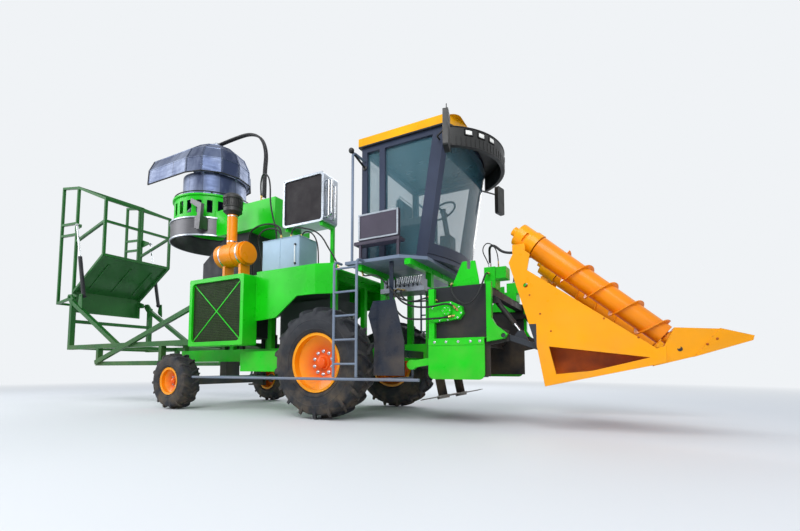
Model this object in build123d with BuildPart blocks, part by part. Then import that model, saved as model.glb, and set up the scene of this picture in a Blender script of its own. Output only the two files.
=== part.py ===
"""Wheeled sugarcane harvester with a tipping basket at the rear.

Millimetres. +X points ahead, +Y to the machine's left, +Z up.
The origin lies on the ground under the middle of the machine.
"""
import os
from math import atan2, cos, degrees, radians, sin, sqrt, tan

from build123d import *

os.makedirs("parts", exist_ok=True)

# Wheels and axles
FRONT_AXLE_X = 1692.5
WHEELBASE = 2950
REAR_AXLE_X = FRONT_AXLE_X - WHEELBASE
TRACK_OUTER = 1200
FRONT_WHEEL = dict(x=FRONT_AXLE_X, d=1440, width=430, seat_r=356, flange_r=380, rim_width=330,
                   lugs=18, lug_high=42, lug_wide=44, sides=20)
REAR_WHEEL = dict(x=REAR_AXLE_X, d=890, width=310, seat_r=195, flange_r=217, rim_width=240,
                  lugs=15, lug_high=30, lug_wide=34, sides=18)
LUG_SWEEP = radians(11)
RIM_SHEET = 10
DISC_AHEAD = 70
HUB_R = 170
REAR_HUB_R = 80
SPINDLE_R = 60
REAR_SPINDLE_R = 35
RUNNING = 0.5
KINGPIN_Y = 720
KINGPIN_R = 25
KINGPIN_BOSS_R = 55
BEAM = 140

# Main frame, decks and body heights
RAIL_Y = 400
RAIL_WIDE = 100
RAIL_BOTTOM = 760
RAIL_DEEP = 200
RAIL_TOP = RAIL_BOTTOM + RAIL_DEEP
RAIL_REAR_X = FRONT_AXLE_X - 3700
RAIL_FRONT_X = FRONT_AXLE_X + 1480
DECK_TOP = 2040
DECK_PLATE = 20
DECK_REAR_X = FRONT_AXLE_X - 2530
DECK_FRONT_X = FRONT_AXLE_X - 20
PANEL_Y = 900
SHEET = 20
PANEL_TOP = 2080
POST = 80

# Screen box and side panels
SCREEN_REAR_X = FRONT_AXLE_X - 2535
SCREEN_FRONT_X = FRONT_AXLE_X - 1340
SCREEN_BOTTOM = 985
SCREEN_TOP = 2020
SCREEN_Y = 1150
SCREEN_RIM = 62
ARCH_LOW = 1350
ARCH_HIGH = 1660

# Tank, radiators and air cleaner
TANK_REAR_X = FRONT_AXLE_X - 1410
TANK_FRONT_X = FRONT_AXLE_X - 670
TANK_TOP = 2595
TANK_Y = (-750, -330)
RADIATOR_REAR_X = FRONT_AXLE_X - 1185
RADIATOR_FRONT_X = FRONT_AXLE_X - 390
RADIATOR_BOTTOM = 2820
RADIATOR_TOP = 3585
RADIATOR_Y = (-560, -210)
CLEANER_R = 185
CLEANER_Y = -800
CLEANER_Z = 2440
CLEANER_REAR_X = FRONT_AXLE_X - 2230
CLEANER_FRONT_X = FRONT_AXLE_X - 1640
CLEANER_PIPE_X = FRONT_AXLE_X - 2030
CLEANER_PIPE_R = 78
CLEANER_PIPE_TOP = 3100
PRE_CLEANER_R = 145
PRE_CLEANER_TOP = 3440

# Extractor
EXTRACTOR_X = FRONT_AXLE_X - 3500
DRUM_R = 750
DRUM_BOTTOM = 2990
DRUM_TOP = 3330
RING_R = 700
RING_TOP = 3770
NECK_R = 565
NECK_TOP = 4225
HOOD_TOP = 4960
HOOD_OUT = 1130
HOOD_SHEET = 8
RUNNING_GAP = 0.3
FAN_Z = 3560
FAN_R = 540

# Cab
CAB_REAR_X = FRONT_AXLE_X + 450
CAB_DOOR_X = FRONT_AXLE_X + 760
CAB_FRONT_X = FRONT_AXLE_X + 1400
CAB_LEAN = 240
CAB_BOW = 170
CAB_HALF = 800
CAB_FLOOR = 2040
CAB_FLOOR_THICK = 60
CAB_TOP = 3580
PILLAR = 80
GLASS = 6
ROOF_EDGE = 125
ROOF_CROWN = 3830
DOOR_GAP = 6
PLATFORM_Y = 1100
PLATFORM_THICK = 40
PLATFORM_TOP = 1980

# Front frame, base cutter and roller
POST_REAR_X = FRONT_AXLE_X + 1480
POST_FRONT_X = FRONT_AXLE_X + 2160
SKIRT_BOTTOM = 525
SKIRT_TOP = 985
ROLLER_X = FRONT_AXLE_X + 1810
ROLLER_Z = 1075
ROLLER_R = 170
CUTTER_X = FRONT_AXLE_X + 1400
CUTTER_DISC_R = 310
CUTTER_Y = 330
CUTTER_TILT = 12
CUTTER_Z = 300

# Crop dividers
DIVIDER_PIVOT_X = FRONT_AXLE_X + 2340
DIVIDER_PIVOT_Z = 995
DIVIDER_Y = 950
DIVIDER_SHEET = 16
SCROLL_R = 124
SCROLL_FOOT_R = 98
SCROLL_FLIGHT = 36
SCROLL_Y = 785
SCROLL_TOP = (FRONT_AXLE_X + 2690, 1927)
SCROLL_FOOT = (FRONT_AXLE_X + 3792, 955)

# Rear frame and basket
BASKET_HALF = 700
BASKET_FRONT_X = FRONT_AXLE_X - 6000
BASKET_REAR_X = FRONT_AXLE_X - 7130
BASKET_GUARD_X = FRONT_AXLE_X - 7790
BASKET_PIVOT_X = FRONT_AXLE_X - 6990
BASKET_PIVOT_Z = 2170
BASKET_TUBE = 50
SUPPORT_HALF = 820
SUPPORT_X = FRONT_AXLE_X - 6850
SUPPORT_TUBE = 90
SUPPORT_Z = 1080


def at(x, y, z):
    """Point given by its distance ahead of the front axle."""
    return (FRONT_AXLE_X + x, y, z)


def along(start, end, flat=(0, 1, 0)):
    """Plane at start whose normal runs to end."""
    return Plane(origin=start, x_dir=flat, z_dir=Vector(*end) - Vector(*start))


def bar(start, end, wide, deep, flat=(0, 1, 0)):
    """Straight rectangular bar, with its width along flat."""
    with BuildSketch(along(start, end, flat)) as section:
        Rectangle(wide, deep)
    extrude(section.sketch, amount=(Vector(*end) - Vector(*start)).length)


def rod(start, end, radius, flat=(0, 1, 0), mode=Mode.ADD):
    """Straight round bar."""
    with BuildSketch(along(start, end, flat)) as section:
        Circle(radius)
    extrude(section.sketch, amount=(Vector(*end) - Vector(*start)).length, mode=mode)


def cross_rod(x, z, y_from, y_to, radius, mode=Mode.ADD):
    """Round bar that lies across the machine."""
    rod((x, y_from, z), (x, y_to, z), radius, flat=(0, 0, 1), mode=mode)


def bent_rod(points, radius, bend):
    """Round bar along straight runs joined by bends of one radius."""
    with BuildLine() as path:
        FilletPolyline(*points, radius=bend)
    start = path.line @ 0
    with BuildSketch(Plane(origin=start, z_dir=path.line % 0)) as section:
        Circle(radius)
    sweep(section.sketch, path=path.line)


def block(x, y, z, mode=Mode.ADD):
    """Box between two limits on each axis."""
    with Locations(((x[0] + x[1]) / 2, (y[0] + y[1]) / 2, (z[0] + z[1]) / 2)):
        Box(abs(x[1] - x[0]), abs(y[1] - y[0]), abs(z[1] - z[0]), mode=mode)


def slab(points, y, thick, mode=Mode.ADD):
    """Plate along the machine with its middle at y, from (x, z) corners."""
    with BuildSketch(Plane.XZ.offset(-y)) as outline:
        Polygon(*points, align=None)
    extrude(outline.sketch, amount=thick / 2, both=True, mode=mode)


def span(middle, wide):
    """Limits of a width about its middle."""
    return (middle - wide / 2, middle + wide / 2)


def keep(piece, name):
    """Label a finished piece and write its file."""
    piece.part.label = name
    export_step(piece.part, f"parts/{name}.step")


# Main frame
RAIL_OUT = RAIL_Y + RAIL_WIDE / 2
ARM_TOP = PLATFORM_TOP - PLATFORM_THICK
ARM = 70
DECK_HALF = PANEL_Y - SHEET / 2
CAB_POST_X = (CAB_REAR_X + 120, CAB_FRONT_X - 150)
DECK_POST_X = (DECK_REAR_X + 130, FRONT_AXLE_X - 1530, FRONT_AXLE_X - 290)
DECK_BEND_X = FRONT_AXLE_X - 230
PANEL_TURN = 90
PANEL_FRONT_X = FRONT_AXLE_X + 60
DUCT_HALF = 335
DUCT_SLOT = DUCT_HALF + 15
DUCT_FRONT_X = FRONT_AXLE_X - 2160
CROSS_X = (RAIL_REAR_X + 80, REAR_AXLE_X, FRONT_AXLE_X - 1600, FRONT_AXLE_X - 150, RAIL_FRONT_X - 80)
CROSS_DEEP = 100
BOX_X = (FRONT_AXLE_X - 1700, FRONT_AXLE_X - 920)
TOW_PLATE = 40
TOW_PIN_R = 20
RADIATOR_POST_X = (RADIATOR_REAR_X + 60, RADIATOR_FRONT_X - 60)


def make_main_frame():
    with BuildPart() as frame:
        for side in (-1, 1):
            rail_y = span(side * RAIL_Y, RAIL_WIDE)
            block((RAIL_REAR_X, RAIL_FRONT_X), rail_y, (RAIL_BOTTOM, RAIL_TOP))
            for x in CAB_POST_X:
                block(span(x, POST), span(side * RAIL_Y, POST), (RAIL_TOP, ARM_TOP - ARM))
            for x in DECK_POST_X:
                block(span(x, POST), span(side * RAIL_Y, POST), (RAIL_TOP, DECK_TOP - DECK_PLATE - ARM))
            # Battery and tool boxes beside the rails
            block(BOX_X, (side * RAIL_OUT, side * 860), (600, 900))
        for x in CROSS_X:
            block(span(x, 160), (-RAIL_OUT, RAIL_OUT), (RAIL_TOP - CROSS_DEEP, RAIL_TOP))
        for x in CAB_POST_X:
            block(span(x, POST), (-PLATFORM_Y + 60, PLATFORM_Y - 60), (ARM_TOP - ARM, ARM_TOP))
        for x in DECK_POST_X:
            block(span(x, POST), (-DECK_HALF, DECK_HALF), (DECK_TOP - DECK_PLATE - ARM, DECK_TOP - DECK_PLATE))
        # Deck plate: narrower ahead of the bend, slotted behind for the chute
        nose = DECK_HALF - PANEL_TURN * (DECK_FRONT_X - DECK_BEND_X) / (PANEL_FRONT_X - DECK_BEND_X)
        with BuildSketch(Plane.XY.offset(DECK_TOP - DECK_PLATE)) as deck:
            Polygon((DECK_REAR_X, -DECK_HALF), (DECK_BEND_X, -DECK_HALF), (DECK_FRONT_X, -nose),
                    (DECK_FRONT_X, nose), (DECK_BEND_X, DECK_HALF), (DECK_REAR_X, DECK_HALF), align=None)
        extrude(deck.sketch, amount=DECK_PLATE)
        block((DECK_REAR_X - 10, DUCT_FRONT_X + 15), (-DUCT_SLOT, DUCT_SLOT),
              (DECK_TOP - DECK_PLATE - ARM - 1, DECK_TOP + 1), mode=Mode.SUBTRACT)
        # Tow plate behind the rear cross member
        plate_x = (RAIL_REAR_X - 130, RAIL_REAR_X)
        block(plate_x, (-80, 80), (RAIL_TOP - CROSS_DEEP, RAIL_TOP - CROSS_DEEP + TOW_PLATE))
        with Locations((RAIL_REAR_X - 70, 0, RAIL_TOP - CROSS_DEEP + TOW_PLATE / 2)):
            Cylinder(TOW_PIN_R, TOW_PLATE, mode=Mode.SUBTRACT)
        # Stand that carries the radiator pack above the deck
        for x in RADIATOR_POST_X:
            block(span(x, 50), (RADIATOR_Y[1] - 60, RADIATOR_Y[1] - 10), (DECK_TOP, RADIATOR_BOTTOM))
            block(span(x, 50), (RADIATOR_Y[0] + 30, RADIATOR_Y[1] - 60), (RADIATOR_BOTTOM - 50, RADIATOR_BOTTOM))
    keep(frame, "main_frame")


# Axles, knuckles and wheels
def make_front_axle():
    z = FRONT_WHEEL["d"] / 2
    disc_y = TRACK_OUTER - FRONT_WHEEL["width"] / 2
    with BuildPart() as axle:
        cross_rod(FRONT_AXLE_X, z - 35, -RAIL_OUT, RAIL_OUT, 60)
        for side in (-1, 1):
            block(span(FRONT_AXLE_X, 420), (side * RAIL_OUT, side * (RAIL_OUT + 25)), (z - 160, RAIL_TOP))
            cross_rod(FRONT_AXLE_X, z, side * (RAIL_OUT + 25), side * (disc_y - RUNNING), HUB_R)
            cross_rod(FRONT_AXLE_X, z, side * (disc_y - RUNNING), side * (disc_y + 55), SPINDLE_R)
    keep(axle, "front_axle")


BOSS_HIGH = 200
YOKE_PLATE = 30
YOKE_Y = KINGPIN_Y + KINGPIN_BOSS_R + 25
BEAM_CROSS_BOTTOM = RAIL_TOP - CROSS_DEEP


def make_rear_axle():
    z = REAR_WHEEL["d"] / 2
    with BuildPart() as axle:
        block(span(REAR_AXLE_X, BEAM), (-KINGPIN_Y, KINGPIN_Y), span(z, BEAM))
        block(span(REAR_AXLE_X, 160), span(0, 300), (z + BEAM / 2, BEAM_CROSS_BOTTOM))
        for side in (-1, 1):
            with Locations((REAR_AXLE_X, side * KINGPIN_Y, z)):
                Cylinder(KINGPIN_BOSS_R + 20, BOSS_HIGH)
                Cylinder(KINGPIN_R + RUNNING, BOSS_HIGH, mode=Mode.SUBTRACT)
        # Steering cylinder behind the beam
        cross_rod(REAR_AXLE_X - BEAM / 2 - 35, z, -230, 230, 35)
        cross_rod(REAR_AXLE_X - BEAM / 2 - 35, z, -480, 480, 16)
    keep(axle, "rear_axle")


def make_knuckle(side, name):
    z = REAR_WHEEL["d"] / 2
    low = z - BOSS_HIGH / 2 - RUNNING - YOKE_PLATE
    high = z + BOSS_HIGH / 2 + RUNNING + YOKE_PLATE
    disc_y = TRACK_OUTER - REAR_WHEEL["width"] / 2
    with BuildPart() as knuckle:
        for level in ((low, low + YOKE_PLATE), (high - YOKE_PLATE, high)):
            block(span(REAR_AXLE_X, 130), (side * (KINGPIN_Y - 60), side * (YOKE_Y + 30)), level)
        block(span(REAR_AXLE_X, 130), (side * YOKE_Y, side * (YOKE_Y + 30)), (low, high))
        with Locations((REAR_AXLE_X, side * KINGPIN_Y, z)):
            Cylinder(KINGPIN_R, high - low)
        cross_rod(REAR_AXLE_X, z, side * (YOKE_Y + 30), side * (disc_y + 45), REAR_SPINDLE_R)
        cross_rod(REAR_AXLE_X, z, side * (disc_y - 30), side * (disc_y - RUNNING), REAR_HUB_R)
        block((REAR_AXLE_X - 240, REAR_AXLE_X - 65), span(side * (KINGPIN_Y - 30), 60), (low, low + YOKE_PLATE))
    keep(knuckle, name)


def wheel_plane(spec, side):
    """Plane through the wheel's middle: x runs outboard and y is the radius."""
    middle = side * (TRACK_OUTER - spec["width"] / 2)
    return Plane(origin=(spec["x"], middle, spec["d"] / 2), x_dir=(0, side, 0), z_dir=(side, 0, 0))


def make_rim(spec, side, bore_r, name):
    half = spec["rim_width"] / 2
    seat = spec["seat_r"]
    flange = spec["flange_r"]
    ahead = min(DISC_AHEAD, half * 0.5)
    bolt_r = seat * 0.52
    outline = [(-half - RIM_SHEET, flange), (-half, flange), (-half, seat), (half, seat), (half, flange),
               (half + RIM_SHEET, flange), (half + RIM_SHEET, seat - RIM_SHEET),
               (ahead + RIM_SHEET, seat - RIM_SHEET), (RIM_SHEET, bolt_r), (RIM_SHEET, bore_r),
               (0, bore_r), (0, bolt_r), (ahead, seat - RIM_SHEET), (-half - RIM_SHEET, seat - RIM_SHEET)]
    plane = wheel_plane(spec, side)
    with BuildPart() as rim:
        with BuildSketch(plane):
            Polygon(*outline, align=None)
        revolve(axis=Axis(plane.origin, plane.x_dir))
    keep(rim, name)


def tyre_bands(spec):
    """Half profile of the carcass from bead to crown: distance out and radius."""
    half = spec["width"] / 2
    bead = spec["flange_r"] + 6
    rise = spec["d"] / 2 - spec["lug_high"] - bead
    return ((spec["rim_width"] / 2, bead), (half, bead + 0.5 * rise), (half * 0.92, bead + 0.86 * rise),
            (half * 0.6, bead + rise))


def tyre_point(spec, side, out, radius, turn):
    """Point on a tyre by its distance outboard of the wheel's middle, radius and angle from the top."""
    middle = side * (TRACK_OUTER - spec["width"] / 2)
    return Vector(spec["x"] + radius * sin(turn), middle + side * out, spec["d"] / 2 + radius * cos(turn))


def tyre_lug(spec, side, hand, turn):
    """Slanting bar from the crown to the shoulder; hand is 1 on the outboard half."""
    bury = 10
    high, wide = spec["lug_high"] + bury, spec["lug_wide"]
    out, shoulder = tyre_bands(spec)[2]
    start = tyre_point(spec, side, -hand * 12, (spec["d"] - high) / 2, turn)
    end = tyre_point(spec, side, hand * out, shoulder + high / 2 - bury, turn - LUG_SWEEP)
    with BuildSketch(Plane(origin=start, x_dir=(sin(turn), 0, cos(turn)), z_dir=(0, side * hand, 0))) as foot:
        Rectangle(high, wide)
    return Solid.extrude(foot.sketch.faces()[0], end - start)


def make_tyre(spec, side, name):
    """Tractor tyre whose lugs stand by turns on its two halves."""
    bands = tyre_bands(spec)
    plane = wheel_plane(spec, side)
    levels = []
    for out, radius in [(-out, radius) for out, radius in bands] + [*reversed(bands)]:
        origin = tyre_point(spec, side, out, 0, 0)
        with BuildSketch(Plane(origin=origin, x_dir=(0, 0, 1), z_dir=(0, side, 0))) as level:
            RegularPolygon(radius, spec["sides"])
        levels.append(level.sketch)
    pitch = radians(360 / spec["lugs"])
    with BuildPart() as tyre:
        loft(levels, ruled=True)
        add([tyre_lug(spec, side, hand, pitch * (index + shift))
             for hand, shift in ((-1, 0), (1, 0.5)) for index in range(spec["lugs"])])
        with BuildSketch(plane) as bore:
            with Locations((0, spec["seat_r"] / 2)):
                Rectangle(spec["width"] + 10, spec["seat_r"])
        revolve(bore.sketch, axis=Axis(plane.origin, plane.x_dir), mode=Mode.SUBTRACT)
    keep(tyre, name)


# Engine and valve bank
ENGINE_X = (FRONT_AXLE_X - 1460, FRONT_AXLE_X - 360)


def make_engine():
    with BuildPart() as engine:
        block(ENGINE_X, span(0, 560), (RAIL_TOP, 1700))
        block((ENGINE_X[0] + 60, ENGINE_X[1] - 60), span(0, 360), (1700, 1860))
        block((ENGINE_X[0] + 200, ENGINE_X[1] - 200), span(0, 420), (RAIL_BOTTOM, RAIL_TOP))
        cross = ENGINE_X[1] + 60
        rod((ENGINE_X[1], 0, 1300), (cross, 0, 1300), 180)
        # Mounting feet across the rails
        for x in (ENGINE_X[0] + 160, ENGINE_X[1] - 160):
            block(span(x, 110), (-RAIL_Y, RAIL_Y), (RAIL_TOP, RAIL_TOP + 50))
    keep(engine, "engine")


VALVE_X = (FRONT_AXLE_X + 720, FRONT_AXLE_X + 1330)
VALVE_Z = 1660
VALVE_COUNT = 9


def make_valve_bank():
    with BuildPart() as bank:
        block(VALVE_X, (-760, -440), (VALVE_Z - 60, VALVE_Z))
        pitch = (VALVE_X[1] - VALVE_X[0] - 120) / (VALVE_COUNT - 1)
        for index in range(VALVE_COUNT):
            x = VALVE_X[0] + 60 + index * pitch
            block(span(x, pitch * 0.6), (-745, -560), (VALVE_Z, VALVE_Z + 110))
            rod((x, -650, VALVE_Z + 110), (x, -650, VALVE_Z + 150), 14)
    keep(bank, "valve_bank")


# Side panels, screen box and rear deck equipment
def side_panel_solids(side):
    """Side sheet with its wheel arch, top fold and angled front end."""
    bend_x = DECK_BEND_X
    arch = [(SCREEN_FRONT_X, PANEL_TOP), (bend_x, PANEL_TOP), (bend_x, ARCH_HIGH),
            (FRONT_AXLE_X - 555, ARCH_HIGH), (FRONT_AXLE_X - 950, ARCH_LOW + 25),
            (FRONT_AXLE_X - 1260, ARCH_LOW), (SCREEN_FRONT_X, ARCH_LOW)]
    slab(arch, side * PANEL_Y, SHEET)
    outer = PANEL_Y + SHEET / 2
    with BuildSketch(Plane.XY.offset(ARCH_HIGH)) as corner:
        Polygon((bend_x, side * outer), (PANEL_FRONT_X, side * (outer - PANEL_TURN)),
                (PANEL_FRONT_X, side * (outer - PANEL_TURN - SHEET)), (bend_x, side * (outer - SHEET)),
                align=None)
    extrude(corner.sketch, amount=PANEL_TOP - ARCH_HIGH)


def screen_box_solids(side, floor_depth):
    """Box with rounded corners, open towards the side down to its floor."""
    length = SCREEN_FRONT_X - SCREEN_REAR_X
    high = SCREEN_TOP - SCREEN_BOTTOM
    middle = ((SCREEN_FRONT_X + SCREEN_REAR_X) / 2, (SCREEN_TOP + SCREEN_BOTTOM) / 2)
    inner = DECK_HALF
    plane = Plane.XZ.offset(-side * inner) if side < 0 else Plane.XZ.offset(-SCREEN_Y)
    with BuildSketch(plane) as outline:
        with Locations(middle):
            RectangleRounded(length, high, 25)
    extrude(outline.sketch, amount=SCREEN_Y - inner)
    pocket = Plane.XZ.offset(SCREEN_Y - floor_depth) if side < 0 else Plane.XZ.offset(-SCREEN_Y)
    with BuildSketch(pocket) as opening:
        with Locations(middle):
            RectangleRounded(length - 2 * SCREEN_RIM, high - 2 * SCREEN_RIM, 70)
    extrude(opening.sketch, amount=floor_depth, mode=Mode.SUBTRACT)


MESH_Y = -SCREEN_Y + 35
MESH_THICK = 8
CROSS_BRACE = 14
CROSS_BRACE_Y = MESH_Y - 4


def make_side_panels():
    with BuildPart() as panels:
        side_panel_solids(-1)
        screen_box_solids(-1, 90)
        # Two thin braces cross the mesh from corner to corner
        x = (SCREEN_REAR_X + SCREEN_RIM, SCREEN_FRONT_X - SCREEN_RIM)
        z = (SCREEN_BOTTOM + SCREEN_RIM, SCREEN_TOP - SCREEN_RIM)
        for rear, front in (z, (z[1], z[0])):
            bar((x[0], CROSS_BRACE_Y, rear), (x[1], CROSS_BRACE_Y, front), 8, CROSS_BRACE)
        # Left side: a shallow pressed cover in place of the mesh
        side_panel_solids(1)
        screen_box_solids(1, 25)
    keep(panels, "side_panels")


def make_screen_mesh():
    x = (SCREEN_REAR_X + SCREEN_RIM, SCREEN_FRONT_X - SCREEN_RIM)
    z = (SCREEN_BOTTOM + SCREEN_RIM, SCREEN_TOP - SCREEN_RIM)
    length = x[1] - x[0]
    high = z[1] - z[0]
    with BuildPart() as mesh:
        with BuildSketch(Plane.XZ.offset(-MESH_Y)) as outline:
            with Locations(((x[0] + x[1]) / 2, (z[0] + z[1]) / 2)):
                RectangleRounded(length, high, 70)
        extrude(outline.sketch, amount=-MESH_THICK)
    keep(mesh, "screen_mesh")


def make_oil_tank():
    with BuildPart() as tank:
        block((TANK_REAR_X, TANK_FRONT_X), TANK_Y, (DECK_TOP, TANK_TOP))
        fillet(tank.edges().filter_by(Axis.Z), 22)
        fillet(tank.faces().sort_by(Axis.Z)[-1].edges(), 8)
        with Locations((TANK_REAR_X + 160, TANK_Y[1] - 110, TANK_TOP + 20)):
            Cylinder(55, 40)
        with Locations((TANK_REAR_X + 160, TANK_Y[1] - 110, TANK_TOP + 52)):
            Cylinder(62, 24)
    keep(tank, "oil_tank")


def make_radiator():
    middle = ((RADIATOR_REAR_X + RADIATOR_FRONT_X) / 2, (RADIATOR_BOTTOM + RADIATOR_TOP) / 2)
    length = RADIATOR_FRONT_X - RADIATOR_REAR_X
    high = RADIATOR_TOP - RADIATOR_BOTTOM
    deep = RADIATOR_Y[1] - RADIATOR_Y[0]
    border = 34
    with BuildPart() as frame:
        with BuildSketch(Plane.XZ.offset(-RADIATOR_Y[1])):
            with Locations(middle):
                RectangleRounded(length, high, 60)
                RectangleRounded(length - 2 * border, high - 2 * border, 42, mode=Mode.SUBTRACT)
        extrude(amount=deep)
    keep(frame, "radiator_frame")
    with BuildPart() as core:
        with BuildSketch(Plane.XZ.offset(-RADIATOR_Y[1] + 40)):
            with Locations(middle):
                RectangleRounded(length - 2 * border, high - 2 * border, 42)
        extrude(amount=deep - 60)
    keep(core, "radiator_core")


def make_air_cleaner():
    seat_z = CLEANER_Z - CLEANER_R
    with BuildPart() as cleaner:
        rod((CLEANER_REAR_X, CLEANER_Y, CLEANER_Z), (CLEANER_FRONT_X - 40, CLEANER_Y, CLEANER_Z), CLEANER_R)
        rod((CLEANER_FRONT_X - 40, CLEANER_Y, CLEANER_Z), (CLEANER_FRONT_X, CLEANER_Y, CLEANER_Z), CLEANER_R - 22)
        rod((CLEANER_FRONT_X - 250, CLEANER_Y, CLEANER_Z), (CLEANER_FRONT_X - 215, CLEANER_Y, CLEANER_Z),
            CLEANER_R + 9)
        with BuildSketch(Plane.XY.offset(CLEANER_Z)) as pipe:
            with Locations((CLEANER_PIPE_X, CLEANER_Y)):
                Circle(CLEANER_PIPE_R)
        extrude(pipe.sketch, amount=CLEANER_PIPE_TOP - CLEANER_Z)
        # Saddle feet on the deck
        for x in (CLEANER_REAR_X + 110, CLEANER_FRONT_X - 120):
            block(span(x, 50), (CLEANER_Y - 70, CLEANER_Y + 110), (DECK_TOP, seat_z + 40))
    keep(cleaner, "air_cleaner")
    with BuildPart() as cap:
        with BuildSketch(Plane(origin=(CLEANER_PIPE_X, CLEANER_Y, CLEANER_PIPE_TOP), x_dir=(1, 0, 0),
                               z_dir=(0, -1, 0))):
            high = PRE_CLEANER_TOP - CLEANER_PIPE_TOP
            Polygon((0, 0), (CLEANER_PIPE_R + 10, 0), (PRE_CLEANER_R - 25, 30), (PRE_CLEANER_R, 50),
                    (PRE_CLEANER_R - 10, high * 0.72), (PRE_CLEANER_R + 8, high * 0.76),
                    (PRE_CLEANER_R + 8, high * 0.86), (PRE_CLEANER_R - 40, high), (0, high), align=None)
        revolve(axis=Axis((CLEANER_PIPE_X, CLEANER_Y, CLEANER_PIPE_TOP), (0, 0, 1)))
    keep(cap, "pre_cleaner")


# Extractor
DUCT_WALL = 12
CHAMBER_HALF = 430
CHAMBER_X = (EXTRACTOR_X + 560, FRONT_AXLE_X - 1480)
MOTOR_R = 105


def tube_wall(x, z_low, z_high, radius, wall):
    """Upright round shell about the extractor's axis."""
    with BuildSketch(Plane.XY.offset(z_low)) as ring:
        with Locations((x, 0)):
            Circle(radius)
            Circle(radius - wall, mode=Mode.SUBTRACT)
    extrude(ring.sketch, amount=z_high - z_low)


def make_discharge_duct():
    """Dark chute from the chopper box up to the underside of the drum."""
    side_outline = [at(-2160, 0, 1180)[::2], at(-2160, 0, 2990)[::2], at(-2740, 0, 2990)[::2],
                    at(-3330, 0, 2560)[::2], at(-3330, 0, 2100)[::2], at(-2700, 0, 1180)[::2]]
    with BuildPart() as duct:
        for side in (-1, 1):
            slab(side_outline, side * DUCT_HALF, DUCT_WALL)
        inner = DUCT_HALF - DUCT_WALL / 2
        block((side_outline[0][0] - DUCT_WALL, side_outline[0][0]), (-inner, inner), (1180, 2990))
        floor = [side_outline[4], side_outline[5], (side_outline[5][0] + DUCT_WALL, 1180),
                 (side_outline[4][0] + DUCT_WALL, 2100)]
        slab(floor, 0, 2 * inner)
        block((side_outline[5][0], side_outline[0][0] - DUCT_WALL), (-inner, inner), (1180, 1180 + DUCT_WALL))
        # Feet on the rails
        for side in (-1, 1):
            for x in (FRONT_AXLE_X - 2500, FRONT_AXLE_X - 2210):
                block(span(x, 60), (side * (DUCT_HALF + DUCT_WALL / 2), side * RAIL_Y), (RAIL_TOP, 1260))
    keep(duct, "discharge_duct")


def make_extractor_base():
    with BuildPart() as base:
        tube_wall(EXTRACTOR_X, DRUM_BOTTOM, DRUM_TOP, DRUM_R, 8)
        tube_wall(EXTRACTOR_X, DRUM_TOP - 8, DRUM_TOP, DRUM_R - 8, DRUM_R - RING_R)
        # Hose bracket on the right flank
        bracket = [at(-3020, 0, 3050)[::2], at(-2940, 0, 3050)[::2], at(-2900, 0, 3500)[::2],
                   at(-3180, 0, 3640)[::2], at(-3200, 0, 3560)[::2], at(-3000, 0, 3440)[::2]]
        slab(bracket, -DRUM_R + 40, 60)
        block((FRONT_AXLE_X - 3080, FRONT_AXLE_X - 2960), (-DRUM_R + 20, -560), (3080, 3300))
    keep(base, "extractor_base")


def make_extractor_ring():
    """Green slotted ring and the chamber that joins it to the machine."""
    with BuildPart() as ring:
        tube_wall(EXTRACTOR_X, DRUM_TOP, RING_TOP, RING_R, 8)
        tube_wall(EXTRACTOR_X, RING_TOP - 30, RING_TOP, RING_R + 30, 30)
        tube_wall(EXTRACTOR_X, RING_TOP - 12, RING_TOP, RING_R - 8, RING_R - NECK_R - 20)
        # Upright slots between the ribs
        with Locations((EXTRACTOR_X, 0, (DRUM_TOP + RING_TOP) / 2 - 10)):
            with PolarLocations(RING_R - 10, 24):
                Box(60, 95, 230, mode=Mode.SUBTRACT)
        for z_low, z_high, hollow in ((DRUM_BOTTOM, DRUM_TOP, DRUM_R), (DRUM_TOP, DRUM_TOP + 120, RING_R - 4)):
            with BuildSketch(Plane.XY.offset(z_low)) as chamber:
                with Locations(((CHAMBER_X[0] + CHAMBER_X[1]) / 2, 0)):
                    Rectangle(CHAMBER_X[1] - CHAMBER_X[0], 2 * CHAMBER_HALF)
                with Locations((EXTRACTOR_X, 0)):
                    Circle(hollow, mode=Mode.SUBTRACT)
            extrude(chamber.sketch, amount=z_high - z_low)
    keep(ring, "extractor_ring")


HOOD_GORES = 12
HOOD_SECTIONS = ((NECK_TOP - 5, 655), (4500, 640), (4720, 540), (4870, 360), (HOOD_TOP, 150))


def hood_outline(z, radius, out):
    """Half polygon of gores about the axis, drawn back to the chute's mouth."""
    corners = [(EXTRACTOR_X - out, -radius)]
    for index in range(HOOD_GORES // 2 + 1):
        turn = radians(-90 + index * 360 / HOOD_GORES)
        corners.append((EXTRACTOR_X + radius * cos(turn), radius * sin(turn)))
    corners.append((EXTRACTOR_X - out, radius))
    with BuildSketch(Plane.XY.offset(z)) as outline:
        Polygon(*corners, align=None)
    return outline.sketch


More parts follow.
